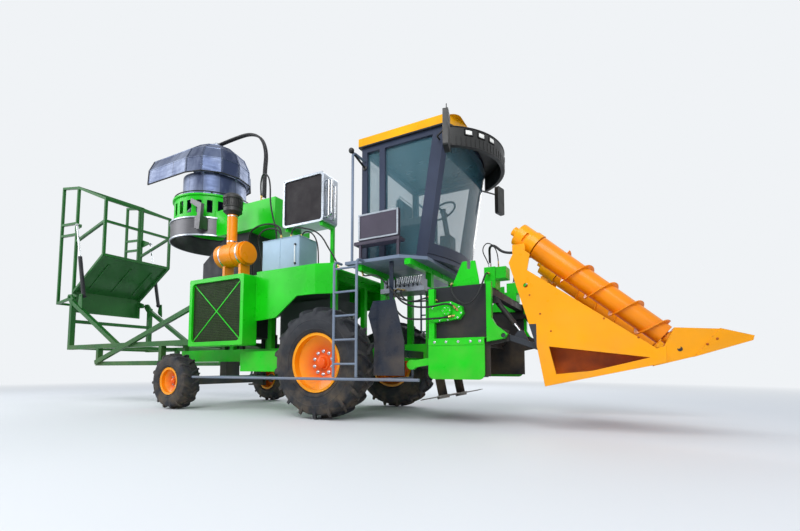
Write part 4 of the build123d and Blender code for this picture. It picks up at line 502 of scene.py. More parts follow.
# %% Paints that change with the place
INNER_SHEET_Y = 0.9415
INNER_SHEET_TOP = 1.62
INNER_SHEET_FRONT = here(3.72, 0, 0).x
LINK_FRONT = here(2.68, 0, 0).x
LINK_TOP = 1.1
ROOF_TRIM_TOP = 3.598


def divider_paint(name, colour):
    """Amber outside, rusty orange on the inner sheets, dark steel on the link bars behind."""
    r = Recipe(enamel(name, colour, dust=0.25, edge_highlight=1.2, shade=0.86, coat=0.15))
    outer_coat = r.shader.inputs["Base Color"].links[0].from_socket
    inside = r.math("MULTIPLY", r.math("LESS_THAN", r.math("ABSOLUTE", r.axis("Y")), INNER_SHEET_Y),
                    r.math("LESS_THAN", r.axis("Z"), INNER_SHEET_TOP))
    inside = r.math("MULTIPLY", inside, r.math("LESS_THAN", r.axis("X"), INNER_SHEET_FRONT))
    stain = r.mix(r.remap(r.noise(4, 5), 0.35, 0.7), linear(206, 96, 16), linear(150, 66, 14))
    body = r.mix(inside, outer_coat, stain)
    bars = r.math("MULTIPLY", r.math("LESS_THAN", r.axis("X"), LINK_FRONT),
                  r.math("LESS_THAN", r.axis("Z"), LINK_TOP))
    r.colour(r.mix(bars, body, linear(52, 56, 62)))
    return r.finish


def roof_paint(name, colour):
    """Yellow outside, dark liner and rubber trim below the roof's edge."""
    r = Recipe(enamel(name, colour, dust=0.0, edge_highlight=1.2, coat=0.2))
    outer_coat = r.shader.inputs["Base Color"].links[0].from_socket
    r.colour(r.mix(r.math("LESS_THAN", r.axis("Z"), ROOF_TRIM_TOP), outer_coat, linear(40, 42, 46)))
    return r.finish


print("shader helpers ready")

# %% [markdown]
# ## The machine's finishes
# Bright green is the body colour, a deeper green covers the rear frame and the
# basket, amber the crop dividers and orange the wheels. The cab is slate with a
# yellow roof, decks and ladders are grey-blue, and what sits in the throat and
# below the cab is black with oil and dust.

# %% Mix the paints
body_green = enamel("body_green", linear(22, 204, 20), dust=0.3, edge_highlight=1.5, coat=0.2)
rear_green = enamel("rear_green", linear(34, 98, 40), dust=0.3, edge_highlight=1.7, coat=0.25)
amber = divider_paint("divider_amber", linear(255, 166, 0))
deep_orange = enamel("scroll_orange", linear(255, 148, 2), dust=0.2, edge_highlight=1.25, shade=0.8, coat=0.2)
rusty_orange = enamel("rusty_orange", linear(196, 92, 20), dust=0.45, coat=0.1, rough=(0.45, 0.7))
roof_yellow = roof_paint("roof_yellow", linear(250, 178, 6))
cleaner_orange = enamel("cleaner_orange", linear(254, 148, 4), dust=0.0, edge_highlight=1.2, coat=0.2)
slate = enamel("cab_slate", linear(54, 62, 82), dust=0.0, edge_highlight=1.7, rough=(0.3, 0.5), coat=0.15)
grey_blue = enamel("grey_blue", linear(118, 132, 152), dust=0.3, edge_highlight=1.45, rough=(0.34, 0.55), coat=0.15)
tank_blue = enamel("tank_blue", linear(156, 182, 202), dust=0.0, edge_highlight=1.2, rough=(0.3, 0.5))
throat_black = enamel("throat_black", linear(34, 36, 40), dust=0.35, edge_highlight=2.2, rough=(0.4, 0.65), coat=0.1)
shield_black = enamel("shield_black", linear(26, 36, 52), dust=0.35, edge_highlight=2.4, rough=(0.16, 0.36), coat=0.5)
duct_black = enamel("duct_black", linear(44, 46, 50), dust=0.1, edge_highlight=2.0, rough=(0.45, 0.7), coat=0.0)
cast_grey = enamel("cast_grey", linear(78, 80, 84), dust=0.5, edge_highlight=1.6, rough=(0.5, 0.75), coat=0.0,
                   dust_top=1.0)
silver = bare_metal("silver_frame", linear(186, 194, 204), tarnish=0.3)
drum_steel = bare_metal("drum_steel", linear(98, 98, 102), rough=(0.3, 0.55), tarnish=0.6, metal=0.85)
valve_steel = bare_metal("valve_steel", linear(150, 156, 166), rough=(0.25, 0.5), tarnish=0.7)
bright_steel = bare_metal("bright_steel", linear(205, 208, 212), rough=(0.12, 0.3), tarnish=0.15)
brass = bare_metal("brass_fitting", linear(206, 178, 110), rough=(0.2, 0.4), tarnish=0.3)
blade_steel = bare_metal("blade_steel", linear(150, 146, 140), rough=(0.3, 0.55), tarnish=0.6)
tyre_black = rubber("tyre_rubber", linear(46, 48, 53), dust=0.4)
hose_black = rubber("hose_rubber", linear(30, 31, 34), dust=0.2, rough=(0.4, 0.62))
black_plastic = moulded("black_plastic", linear(30, 31, 30))
lamp_black = moulded("lamp_housing", linear(18, 18, 19), rough=(0.3, 0.45))
console_grey = moulded("console_grey", linear(58, 62, 66))

# %% [markdown]
# ## Rims: yellow lip, red-orange dish
# A rim is dipped in orange that runs from red deep in the dish to yellow
# at the lip. The colour follows the distance from the hub, which the wheel
# carries with it as it turns.

# %% Rim and hood finishes
TRACK_OUTER = 1.2
FRONT_WHEEL = dict(x=FRONT_AXLE, radius=0.72, half=0.215, seat=0.356, flange=0.380, rim_half=0.165, lugs=18,
                   lug=0.042)
REAR_WHEEL = dict(x=FRONT_AXLE - 2.95, radius=0.445, half=0.155, seat=0.195, flange=0.217, rim_half=0.120,
                  lugs=15, lug=0.030)
EXTRACTOR_X = FRONT_AXLE - 3.5
HOOD_GORES = 12


def dipped_rim(name, wheel):
    """Orange that turns from red at the dish to yellow at the lip."""
    r = Recipe(name)
    r.set(Coat_Weight=0.2, Coat_Roughness=0.1, Specular_IOR_Level=0.25)
    normal = r.rounded(0.006)
    side = r.math("SUBTRACT", r.axis("X"), wheel["x"])
    rise = r.math("SUBTRACT", r.axis("Z"), wheel["radius"])
    from_hub = r.math("SQRT", r.math("ADD", r.math("MULTIPLY", side, side), r.math("MULTIPLY", rise, rise)))
    lip = wheel["flange"]
    # Darker red near the hub deep in the dish, yellow towards the lip
    body = r.mix(r.remap(from_hub, lip * 0.45, lip * 0.97), linear(232, 88, 4), linear(255, 166, 6))
    body = r.cover(body, r.remap(r.noise(3, 5), 0.42, 0.7), 0.35, linear(214, 96, 14))
    # Painted highlight: pale yellow along the rim's edges
    body = r.cover(body, r.edge(normal), 0.5, linear(255, 190, 60))
    r.colour(r.cover(body, r.low_dirt(wheel["radius"] * 1.2, 0.05, 9, 0.45, 0.7), 0.5, DUST))
    r.roughness(r.remap(r.noise(8, 3), 0.3, 0.7, 0.25, 0.5))
    r.bump(r.noise(50, 3), 0.06, 0.0015, normal)
    return r.finish


def gored_steel(name):
    """Silver-blue steel of the hood, each gore a little different, darker at its seams."""
    r = Recipe(name)
    r.set(Metallic=0.72)
    normal = r.rounded(0.006)
    turn = r.math("ARCTAN2", r.axis("Y"), r.math("SUBTRACT", r.axis("X"), EXTRACTOR_X))
    gore = r.math("MULTIPLY", turn, HOOD_GORES / (2 * pi))
    seam = r.remap(r.math("PINGPONG", gore, 0.5), 0.035, 0.0)
    tone = r.remap(r.math("SINE", r.math("MULTIPLY", r.math("FLOOR", gore), 2.4)), -1, 1)
    body = r.mix(tone, linear(47, 57, 86), linear(82, 94, 124))
    body = r.cover(body, r.remap(r.noise(2.6, 5, (1, 1, 0.35)), 0.42, 0.7), 0.6, linear(150, 160, 182))
    body = r.cover(body, seam, 0.6, linear(34, 38, 48))
    # Painted highlight: pale silver along the hood's edges
    r.colour(r.cover(body, r.edge(normal), 0.5, linear(176, 184, 196)))
    r.roughness(r.remap(r.noise(5, 4, (1, 1, 5)), 0.3, 0.7, 0.34, 0.56))
    r.bump(r.noise(24, 3, (1, 1, 4)), 0.12, 0.003, normal)
    return r.finish


front_rim = dipped_rim("front_rim_orange", FRONT_WHEEL)
rear_rim = dipped_rim("rear_rim_orange", REAR_WHEEL)
hood_steel = gored_steel("hood_steel")

# %% Wire cloth, glass and lenses


def woven(name, colour, thread, pitch):
    """Wire cloth or radiator core: a fine grid of threads over a dark ground."""
    r = Recipe(name)
    r.set(Metallic=0.3)
    lines = [r.remap(r.math("PINGPONG", r.math("MULTIPLY", r.axis(letter), 1 / pitch), 0.5), 0.16, 0.06)
             for letter in ("X", "Z")]
    grid = r.math("MAXIMUM", *lines)
    body = r.mix(r.remap(r.noise(3, 5), 0.4, 0.7), scaled(colour, 0.6), colour)
    r.colour(r.mix(grid, body, thread))
    r.roughness(r.remap(r.noise(6, 3), 0.3, 0.7, 0.5, 0.75))
    r.bump(grid, 0.5)
    return r.finish


def glazing(name, tint, clear):
    """Tinted safety glass: mostly see-through, with a clean reflection."""
    r = Recipe(name)
    r.set(Roughness=0.02, IOR=1.5, Alpha=clear, Coat_Weight=1.0, Coat_Roughness=0.02)
    r.colour(r.mix(r.remap(r.noise(1.2, 4, (1, 1, 0.4)), 0.35, 0.7), tint, scaled(tint, 1.5)))
    return r.finish


def lens(name, colour, rough):
    """Pale smooth surface of a lamp lens or a gauge."""
    r = Recipe(name)
    r.colour(r.mix(r.remap(r.noise(20, 3), 0.3, 0.7), scaled(colour, 0.85), colour))
    r.roughness(r.remap(r.noise(30, 3), 0.3, 0.7, rough * 0.8, rough * 1.2))
    return r.finish


core_black = woven("core_black", linear(18, 15, 18), linear(44, 38, 44), 0.012)
mesh_dark = woven("mesh_dark", linear(16, 24, 10), linear(26, 40, 16), 0.02)
condenser_fins = woven("condenser_fins", linear(58, 52, 66), linear(88, 82, 98), 0.01)
cab_glazing = glazing("cab_glazing", linear(74, 122, 136), 0.26)
lens_white = lens("lens_white", linear(246, 246, 240), 0.12)
print("finishes", len(bpy.data.materials))

# %% [markdown]
# ## Give every CAD node its finish
# A node whose shape is right keeps its shape and only changes its paint. One table
# says which finish goes on which node.

# %% Paint the nodes


def pair(name):
    """The right and the left node of a pair."""
    return f"{name}_right", f"{name}_left"


PAINT = {
    body_green: ("side_panels", "front_frame", "main_frame", "extractor_ring"),
    rear_green: ("rear_frame", "basket"),
    amber: ("dividers",),
    deep_orange: pair("scroll"),
    front_rim: pair("front_rim"),
    rear_rim: pair("rear_rim"),
    tyre_black: pair("front_tyre") + pair("rear_tyre"),
    cast_grey: ("engine", "front_axle", "rear_axle", *pair("knuckle")),
    valve_steel: ("valve_bank", "fan_motor", "extractor_fan"),
    mesh_dark: ("screen_mesh",),
    core_black: ("radiator_core",),
    tank_blue: ("oil_tank",),
    grey_blue: ("platforms", "ladders_and_rails"),
    hood_steel: ("extractor_hood",),
    condenser_fins: ("condenser",),
    silver: ("radiator_frame",),
    drum_steel: ("extractor_base",),
    cleaner_orange: ("air_cleaner",),
    roof_yellow: ("cab_roof",),
    black_plastic: ("pre_cleaner", "visor_and_mirrors"),
    console_grey: ("cab_interior", "seat_cushions"),
    slate: ("cab_frame", "door_frame"),
    cab_glazing: ("cab_glass", "door_glass"),
    duct_black: ("discharge_duct",),
    shield_black: ("wheel_shields",),
    throat_black: ("feed_throat", "base_cutter", "knockdown_roller", "lift_barrels", "basket_barrels"),
    blade_steel: pair("cutter_disc"),
    bright_steel: ("lift_rods", "basket_rods"),
    hose_black: ("hood_hoses", "divider_hoses"),
}
for finish, names in PAINT.items():
    for name in names:
        nodes[name].data.materials.clear()
        nodes[name].data.materials.append(finish)
painted = {name for names in PAINT.values() for name in names}
print("unpainted", sorted(set(nodes) - painted))

# %% [markdown]
# ## Hoses
# A hydraulic hose is rubber over steel braid: it can bend but not stretch, so it
# leaves its fitting straight and hangs in one even curve. Each hose is a NURBS
# curve. Four of them follow the same route points as the CAD solids that they
# stand for.

# %% Hose helper


def line_of(curve):
    """Points along a curve's own middle line."""
    bare = curve.copy()
    bare.bevel_depth = 0
    probe = put_in_scene("probe", bare)
    bpy.context.view_layer.update()
    line = bpy.data.meshes.new_from_object(probe.evaluated_get(bpy.context.evaluated_depsgraph_get()))
    spots = [v.co.copy() for v in line.vertices]
    bpy.data.objects.remove(probe)
    bpy.data.curves.remove(bare)
    bpy.data.meshes.remove(line)
    return spots


def free_hose(name, route, radius):
    """A hose on the chassis along points ahead of the axle."""
    route = [here(*spot) for spot in route]
    data = bpy.data.curves.new(name, "CURVE")
    data.dimensions = "3D"
    data.resolution_u = 12
    data.bevel_depth = radius
    data.bevel_resolution = 4
    data.use_fill_caps = True
    spline = data.splines.new("NURBS")
    spline.points.add(len(route) - 1)
    for point, at in zip(spline.points, route):
        point.co = (*at, 1)
    spline.order_u = 3
    spline.use_endpoint_u = True
    spline.resolution_u = 12
    data.materials.append(hose_black)
    hose = put_in_scene(name, data)
    spots = line_of(data)
    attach(hose, "chassis")
    return hose, spots


# %% The two hood hoses and the two divider hoses
HOOD_ROUTE = ((-3.45, 0, 5.045), (-2.95, 0, 5.065), (-2.5, -0.06, 4.99), (-2.13, -0.15, 4.76),
              (-1.93, -0.23, 4.4), (-1.88, -0.31, 4.02), (-1.85, -0.34, 3.74), (-1.85, -0.34, 3.4505))
DIVIDER_ROUTE = ((2.11, 0.6, 1.8202), (2.11, 0.6, 1.938), (2.134, 0.705, 2.037), (2.22, 0.817, 2.019),
                 (2.334, 0.83, 1.9), (2.4494, 0.83, 1.9))
HOOD_HOSE_SHIFTS = (0, 0.046)
for word, shift in zip(("near", "far"), HOOD_HOSE_SHIFTS):
    hose, _ = free_hose(f"hood_hose_{word}", [(x, y + shift, z) for x, y, z in HOOD_ROUTE], 0.02)
    if word == "near":
        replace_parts(hose, "hood_hoses")
for word, side in (("right", -1), ("left", 1)):
    hose, _ = free_hose(f"divider_hose_{word}", [(x, side * y, z) for x, y, z in DIVIDER_ROUTE], 0.014)
    if word == "right":
        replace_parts(hose, "divider_hoses")

# %% [markdown]
# ## Tractor tyres
# The lugs of a field tyre stand in two rows that meet at the crown by turns, and
# each lug bends back and widens towards the shoulder. The CAD tyre has them as
# straight bars; this one keeps their places and adds the bend, the draft of the
# mould and the round sidewall.

# %% Tyre profile and lug stations
# Sidewall to crown: how far out in half widths, and how far up from the bead
CARCASS = ((0.767, 0.0), (0.86, 0.03), (0.93, 0.12), (0.985, 0.30), (0.998, 0.46), (0.985, 0.62),
           (0.953, 0.75), (0.86, 0.90), (0.66, 0.965), (0.40, 0.99), (0.12, 1.0))
# Columns: out, base and top below the tread in lug heights, trail, base and top half width
LUG = ((-0.05, 1.06, 0.06, -0.012, 0.022, 0.015), (0.28, 1.10, 0.04, 0.066, 0.024, 0.017),
       (0.56, 1.24, 0.10, 0.124, 0.026, 0.019), (0.77, 1.55, 0.32, 0.162, 0.028, 0.020),
       (0.885, 2.05, 0.74, 0.182, 0.030, 0.021), (0.945, 2.90, 1.90, 0.192, 0.031, 0.024),
       (0.960, 3.45, 3.15, 0.196, 0.030, 0.026))
TYRE_SIDES = 72


def wheel_spot(spec, side, out=0, radius=0, turn=0):
    """Point of a wheel by its distance outboard of the middle, radius and angle from the top."""
    return Vector((spec["x"] + radius * sin(turn), side * (TRACK_OUTER - spec["half"] + out),
                   spec["radius"] + radius * cos(turn)))


def add_lug(mesh, spec, side, hand, turn):
    """One lug through its stations, from the crown to the sidewall."""
    loops = []
    scale = spec["lug"] / FRONT_WHEEL["lug"]
    for out, base, top, trail, wide, narrow in LUG:
        across = hand * out * spec["half"]
        low, high = spec["radius"] - base * spec["lug"], spec["radius"] - top * spec["lug"]
        mid = turn - trail
        loops.append([wheel_spot(spec, side, across, radius, mid + half * scale / radius)
                      for radius, half in ((low, -wide), (low, wide), (high, narrow), (high, -narrow))])
    add_loops(mesh, loops)


def build_tyre(spec, side, name, body):
    """Carcass with its bead seat, and the two rows of lugs."""
    mesh = begin()
    bead = spec["flange"] + 0.006
    rise = spec["radius"] - spec["lug"] * 1.02 - bead
    half_wall = [(out * spec["half"], bead + part * rise) for out, part in reversed(CARCASS)]
    half_wall.append((spec["rim_half"], spec["seat"] + 0.001))
    profile = [(-out, r) for out, r in reversed(half_wall)] + half_wall
    add_turned(mesh, wheel_spot(spec, side), (0, side, 0), profile, TYRE_SIDES, joined=True)
    # Raised rings of the bead guard and the mould's parting on the sidewall
    for part, high, reach in ((0.16, 0.004, 0.955), (0.55, 0.0025, 0.994)):
        ring = bead + part * rise
        for hand in (-1, 1):
            add_turned(mesh, wheel_spot(spec, side, hand * spec["half"] * reach), (0, side * hand, 0),
                       ((-0.004, ring - 0.006), (high, ring - 0.003), (high, ring + 0.003),
                        (-0.004, ring + 0.006)), TYRE_SIDES, joined=True)
    pitch = 2 * pi / spec["lugs"]
    for hand, shift in ((-1, 0.0), (1, 0.5)):
        for index in range(spec["lugs"]):
            add_lug(mesh, spec, side, hand, pitch * (index + shift))
    return finish_piece(mesh, name, tyre_black, body, smooth=True)


# %% The four tyres
WHEELS = [(spec, side, word, hand, f"{word}_wheel_{hand}")
          for spec, word in ((FRONT_WHEEL, "front"), (REAR_WHEEL, "rear"))
          for side, hand in ((-1, "right"), (1, "left"))]
for spec, side, word, hand, body in WHEELS:
    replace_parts(build_tyre(spec, side, f"{word}_lugged_tyre_{hand}", body), f"{word}_tyre_{hand}")
print("tyres", len(WHEELS))

# %% [markdown]
# ## Wheel nuts and hub caps
# The disc is clamped to its hub by a ring of nuts on studs. A pressed cap covers
# the end of the spindle, so it is a hollow cup here and clears the spindle.

# %% Nuts, studs, caps and the rolled safety edge on the rim's lip
DISC_FACE = 0.010
# Nuts, the circle they stand on, their size, then the cap's inner radius, outer radius and depth
HUBS = {"front": (10, 0.150, 0.030, 0.064, 0.100, 0.078), "rear": (8, 0.080, 0.020, 0.039, 0.058, 0.062)}
for spec, side, word, hand, body in WHEELS:
    nuts, circle, flats, inner, outer, deep = HUBS[word]
    rim = front_rim if word == "front" else rear_rim
    mesh = begin()
    for index in range(nuts):
        spot = wheel_spot(spec, side, DISC_FACE, circle, 2 * pi * index / nuts)
        add_bolt(mesh, spot, (0, side, 0), flats, flats * 0.7)
        add_rod(mesh, spot, spot + Vector((0, side * flats * 1.1, 0)), flats * 0.26, sides=10)
    finish_piece(mesh, f"{word}_wheel_nuts_{hand}", bright_steel, body)
    mesh = begin()
    cup = ((DISC_FACE - 0.001, outer), (DISC_FACE + 0.014, outer), (DISC_FACE + 0.018, outer - 0.02),
           (deep, inner + 0.004), (deep + 0.012, inner - 0.016), (deep + 0.016, 0.0001),
           (deep + 0.010, 0.0001), (deep - 0.002, inner - 0.004), (deep - 0.012, inner),
           (DISC_FACE - 0.001, inner))
    add_turned(mesh, wheel_spot(spec, side), (0, side, 0), cup, 40, joined=True)
    finish_piece(mesh, f"{word}_hub_cap_{hand}", rim, body, smooth=True)
    mesh = begin()
    lip = spec["flange"]
    add_turned(mesh, wheel_spot(spec, side, spec["rim_half"] + 0.010), (0, side, 0),
               ((-0.003, lip - 0.008), (0.004, lip - 0.008), (0.007, lip - 0.003), (0.004, lip + 0.001),
                (-0.003, lip + 0.001)), TYRE_SIDES, joined=True)
    finish_piece(mesh, f"{word}_rim_edge_{hand}", rim, body, smooth=True)
print("wheels dressed")

# %% [markdown]
# ## Hood seams and rims
# The hood is folded from gores that are joined by raised seams, and its mouth and
# foot are stiffened by rolled rims.

# %% Seam battens and rims
HOOD_LEVELS = ((4.220, 0.655), (4.500, 0.640), (4.720, 0.540), (4.870, 0.360), (4.960, 0.150))
HOOD_MOUTH = EXTRACTOR_X - 1.13


def gore_spot(level, index):
    """Corner of the hood's polygon; the first and last lie on the chute's mouth."""
    z, radius = HOOD_LEVELS[level]
    if index < 0 or index > HOOD_GORES // 2:
        return Vector((HOOD_MOUTH, -radius if index < 0 else radius, z))
    turn = radians(-90 + index * 360 / HOOD_GORES)
    return Vector((EXTRACTOR_X + radius * cos(turn), radius * sin(turn), z))


mesh = begin()
for index in range(HOOD_GORES // 2 + 1):
    for level in range(4):
        low, high = gore_spot(level, index), gore_spot(level + 1, index)
        away = Vector((low.x - EXTRACTOR_X, low.y, 0)).normalized() * 0.004
        add_bar(mesh, low + away, high + away, 0.026, 0.010, flat=(-away.y, away.x, 0))
for level in (1, 2, 3):
    for index in range(-1, HOOD_GORES // 2 + 1):
        add_bar(mesh, gore_spot(level, index), gore_spot(level, index + 1), 0.016, 0.008, flat=UP)
finish_piece(mesh, "hood_seams", hood_steel, "hood")

mesh = begin()
for level in range(4):
    for index in (-1, HOOD_GORES // 2 + 1):
        add_rod(mesh, gore_spot(level, index), gore_spot(level + 1, index), 0.012, sides=10)
add_rod(mesh, gore_spot(4, -1), gore_spot(4, HOOD_GORES // 2 + 1), 0.012, sides=10)
for index in range(-1, HOOD_GORES // 2 + 1):
    add_rod(mesh, gore_spot(0, index), gore_spot(0, index + 1), 0.013, sides=10)
finish_piece(mesh, "hood_rims", duct_black, "hood", smooth=True)

# %% Bolt circles of the slewing ring and the flange, and the drum's rims
centre = Vector((EXTRACTOR_X, 0, 0))
for name, body, count, shift, z, radius, flats, high in (
        ("slewing_ring_bolts", "hood", 16, 0.0, 3.790, 0.605, 0.022, 0.014),
        ("ring_flange_bolts", "chassis", 24, 0.5, 3.770, 0.715, 0.020, 0.012)):
    mesh = begin()
    for index in range(count):
        spot = centre + UP * z + around(2 * pi * (index + shift) / count) * radius
        add_bolt(mesh, spot, UP, flats, high)
    finish_piece(mesh, name, bright_steel, body)

DRUM_RIM = ((-0.014, 0.7495), (-0.014, 0.766), (0.010, 0.766), (0.010, 0.7495))
mesh = begin()
for z in (3.004, 3.322):
    add_turned(mesh, centre + UP * z, UP, DRUM_RIM, sides=72, joined=True)
finish_piece(mesh, "drum_rims", silver, smooth=True)
print("hood dressed")

# %% [markdown]
# ## The cab's small parts
# The visor carries three work lamps on each side. A lamp is a lens that bulges
# out of a dark bezel. The mirrors get their glass on the side that faces the
# driver, and the visor's skirt its row of upright louvres.

# %% Panes and bezels with round corners


def rounded_rectangle(centre, across, up, wide, high, corner, steps=4):
    """Points round a rectangle with round corners."""
    spots = []
    for index, (a, b) in enumerate(((1, 1), (-1, 1), (-1, -1), (1, -1))):
        middle = centre + across * (a * (wide / 2 - corner)) + up * (b * (high / 2 - corner))
        for step in range(steps + 1):
            turn = pi / 2 * (index + step / steps)
            spots.append(middle + across * (corner * cos(turn)) + up * (corner * sin(turn)))
    return spots


def add_pane(mesh, centre, out, wide, high, corner, rings, joined=False):
    """Upright pane or bezel from (how far out, how much smaller) rings of one rounded rectangle."""
    across = UP.cross(out)
    add_loops(mesh, [rounded_rectangle(centre + out * far, across, UP, wide - less, high - less,
                                       max(corner - less / 2, 0.002)) for far, less in rings], joined)


# %% Work lamps
VISOR_MID = here(1.2425, 0, 0)
VISOR_RADIUS = 0.8825
VISOR_HALF_TURN = asin(0.7806 / VISOR_RADIUS)
LAMP_TURNS = (20, 32, 44)
LAMP_Z = 3.515
LENS_BACK = 0.004
LENS_RINGS = ((-0.002, 0.0), (0.004, 0.0), (0.009, 0.010), (0.012, 0.028), (0.013, 0.048))
BEZEL_RINGS = ((-0.002, 0.0), (0.011, 0.0), (0.014, 0.006), (0.014, 0.018), (-0.002, 0.020))
lenses, bezels = begin(), begin()
for side in (-1, 1):
    for degrees in LAMP_TURNS:
        out = around(side * radians(degrees))
        face = VISOR_MID + out * (VISOR_RADIUS - LENS_BACK) + UP * LAMP_Z
        add_pane(lenses, face, out, 0.092, 0.060, 0.012, LENS_RINGS)
        add_pane(bezels, face, out, 0.112, 0.080, 0.018, BEZEL_RINGS, joined=True)
finish_piece(lenses, "work_lamp_lenses", lens_white, smooth=True)
finish_piece(bezels, "work_lamp_bezels", lamp_black, smooth=True)
print("work lamps", 2 * len(LAMP_TURNS))

# %% Visor beads and louvres
LOUVRES_EACH_SIDE = 14
LOUVRE_DEGREES = 4.2
trim = begin()
for height in (3.336, 3.574):
    add_tube(trim, [VISOR_MID + UP * height + around(VISOR_HALF_TURN * (i / 20 - 1)) * (VISOR_RADIUS + 0.001)
                    for i in range(41)], 0.007)
for step in range(-LOUVRES_EACH_SIDE, LOUVRES_EACH_SIDE + 1):
    out = around(radians(step * LOUVRE_DEGREES))
    foot = VISOR_MID + out * (VISOR_RADIUS + 0.002)
    add_bar(trim, foot + UP * 3.352, foot + UP * 3.452, 0.014, 0.010, flat=UP.cross(out))
finish_piece(trim, "visor_trim", lamp_black, smooth=True)

# %% Mirror glass and the aerial stub
MIRROR_HALF_THICK = 0.030
mirror_glass = bare_metal("mirror_glass", linear(196, 206, 214), rough=(0.02, 0.05), streak=(1, 1, 2),
                          tarnish=0.05)
panes = begin()
for side in (-1, 1):
    back = Vector((-1, side * 0.25, 0)).normalized()
    add_pane(panes, here(1.79, side * 1.13, 3.30) + back * MIRROR_HALF_THICK, back, 0.172, 0.40, 0.03,
             ((-0.002, 0.0), (0.0015, 0.0), (0.003, 0.006)))
finish_piece(panes, "mirror_panes", mirror_glass)
AERIAL = ((0, 0.013), (0.018, 0.013), (0.026, 0.007), (0.085, 0.005), (0.1, 0.006), (0.105, 0.002))
aerial = begin()
add_turned(aerial, here(1.79, -1.13, 3.513), UP, AERIAL, sides=16)
finish_piece(aerial, "aerial_stub", black_plastic, smooth=True)

# %% [markdown]
# ## Seat cushions
# The operator's seat is foam under vinyl. A box a little smaller than the CAD
# cushion is remeshed and blown up by the cloth solver, so its faces crown and its
# sides pull in between the corners. The swelling is capped so that the cushion
# stays in the room that the CAD gives it.

# %% Padded cushions
SEAT_PAD = ((0.665, -0.232, 2.372), (1.132, 0.232, 2.462))
BACK_PAD = ((0.632, -0.214, 2.53), (0.715, 0.214, 3.092))
PUFF = 0.014
FOAM_STEPS = 20
vinyl = moulded("seat_vinyl", linear(40, 44, 50), rough=(0.38, 0.55), grain=120)


def apply_modifiers(piece):
    """Puts the mesh that the modifiers make in place of the piece's own."""
    bpy.context.view_layer.update()
    done = bpy.data.meshes.new_from_object(piece.evaluated_get(bpy.context.evaluated_depsgraph_get()))
    piece.modifiers.clear()
    piece.data = done


def padded_cushion(name, low, high):
    """Cloth cushion from a box between two corners ahead of the axle."""
    low, high = here(*low), here(*high)
    middle, size = (low + high) / 2, high - low
    mesh = begin()
    add_bar(mesh, (low.x, middle.y, middle.z), (high.x, middle.y, middle.z), size.y, size.z)
    bmesh.ops.recalc_face_normals(mesh, faces=mesh.faces)
    bmesh.ops.bevel(mesh, geom=list(mesh.edges), offset=0.02, segments=3, affect="EDGES")
    pad = finish_piece(mesh, name, vinyl)
    remesh = pad.modifiers.new("grid", "REMESH")
    remesh.mode = "VOXEL"
    remesh.voxel_size = 0.012
    apply_modifiers(pad)
    start = [v.co.copy() for v in pad.data.vertices]
    cloth = pad.modifiers.new("foam", "CLOTH")
    cloth.settings.use_pressure = True
    cloth.settings.uniform_pressure_force = 4
    cloth.settings.effector_weights.gravity = 0
    cloth.point_cache.frame_end = FOAM_STEPS
    for step in range(1, FOAM_STEPS + 1):
        bpy.context.scene.frame_set(step)
    apply_modifiers(pad)
    bpy.context.scene.frame_set(1)
    for vertex, rest in zip(pad.data.vertices, start):
        move = vertex.co - rest
        if move.length > PUFF:
            vertex.co = rest + move.normalized() * PUFF
    for face in pad.data.polygons:
        face.use_smooth = True
    pad.modifiers.new("smooth", "SUBSURF").levels = 1
    return pad


seat_pad = padded_cushion("seat_pad", *SEAT_PAD)
back_pad = padded_cushion("seat_back", *BACK_PAD)
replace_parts(seat_pad, "seat_cushions")
print("cushions", len(seat_pad.data.vertices), len(back_pad.data.vertices))

# %% Piping along the cushions' edges
PIPING_GROWS = 0.012
piping = begin()
for pad, across, up, out in ((SEAT_PAD, AHEAD, LEFT, UP), (BACK_PAD, LEFT, UP, AHEAD)):
    low, high = here(*pad[0]), here(*pad[1])
    middle, size = (low + high) / 2, high - low
    face = middle + out * (size.dot(out) / 2 - 0.012)
    loop = rounded_rectangle(face, across, up, size.dot(across) + PIPING_GROWS,
                             size.dot(up) + PIPING_GROWS, 0.03)
    add_tube(piping, loop + loop[:1], 0.005, sides=6)
finish_piece(piping, "seat_piping", black_plastic, smooth=True)

# %% [markdown]
# ## Screens, radiator and tank
# The side screen is woven wire in a folded frame. The radiator stands in a bright
# frame with bolted corners and its pipes at the front end. The oil tank has a
# folded top edge, a filler cap with grips and a sight glass.

# %% Woven screen wires
SCREEN_LOW, SCREEN_HIGH = (-2.473, 1.047), (-1.402, 1.958)
SCREEN_FACE_Y = -1.1175
WIRE_PITCH = 0.025
WIRE_R = 0.0018
wire_olive = enamel("wire_olive", linear(58, 92, 34), dust=0.2, edge_highlight=1.4, coat=0.0, rough=(0.5, 0.7))
wires = begin()
columns, rows = (int((high - low) / WIRE_PITCH) for low, high in zip(SCREEN_LOW, SCREEN_HIGH))
for index in range(1, columns + 1):
    x = SCREEN_LOW[0] + index * WIRE_PITCH
    ends = (here(x, SCREEN_FACE_Y, z) for z in (SCREEN_LOW[1], SCREEN_HIGH[1]))
    add_rod(wires, *ends, WIRE_R, sides=5)
for index in range(1, rows + 1):
    z = SCREEN_LOW[1] + index * WIRE_PITCH
    ends = (here(x, SCREEN_FACE_Y - WIRE_R, z) for x in (SCREEN_LOW[0], SCREEN_HIGH[0]))
    add_rod(wires, *ends, WIRE_R, sides=5)
finish_piece(wires, "screen_wires", wire_olive)
print("screen wires", columns + rows)

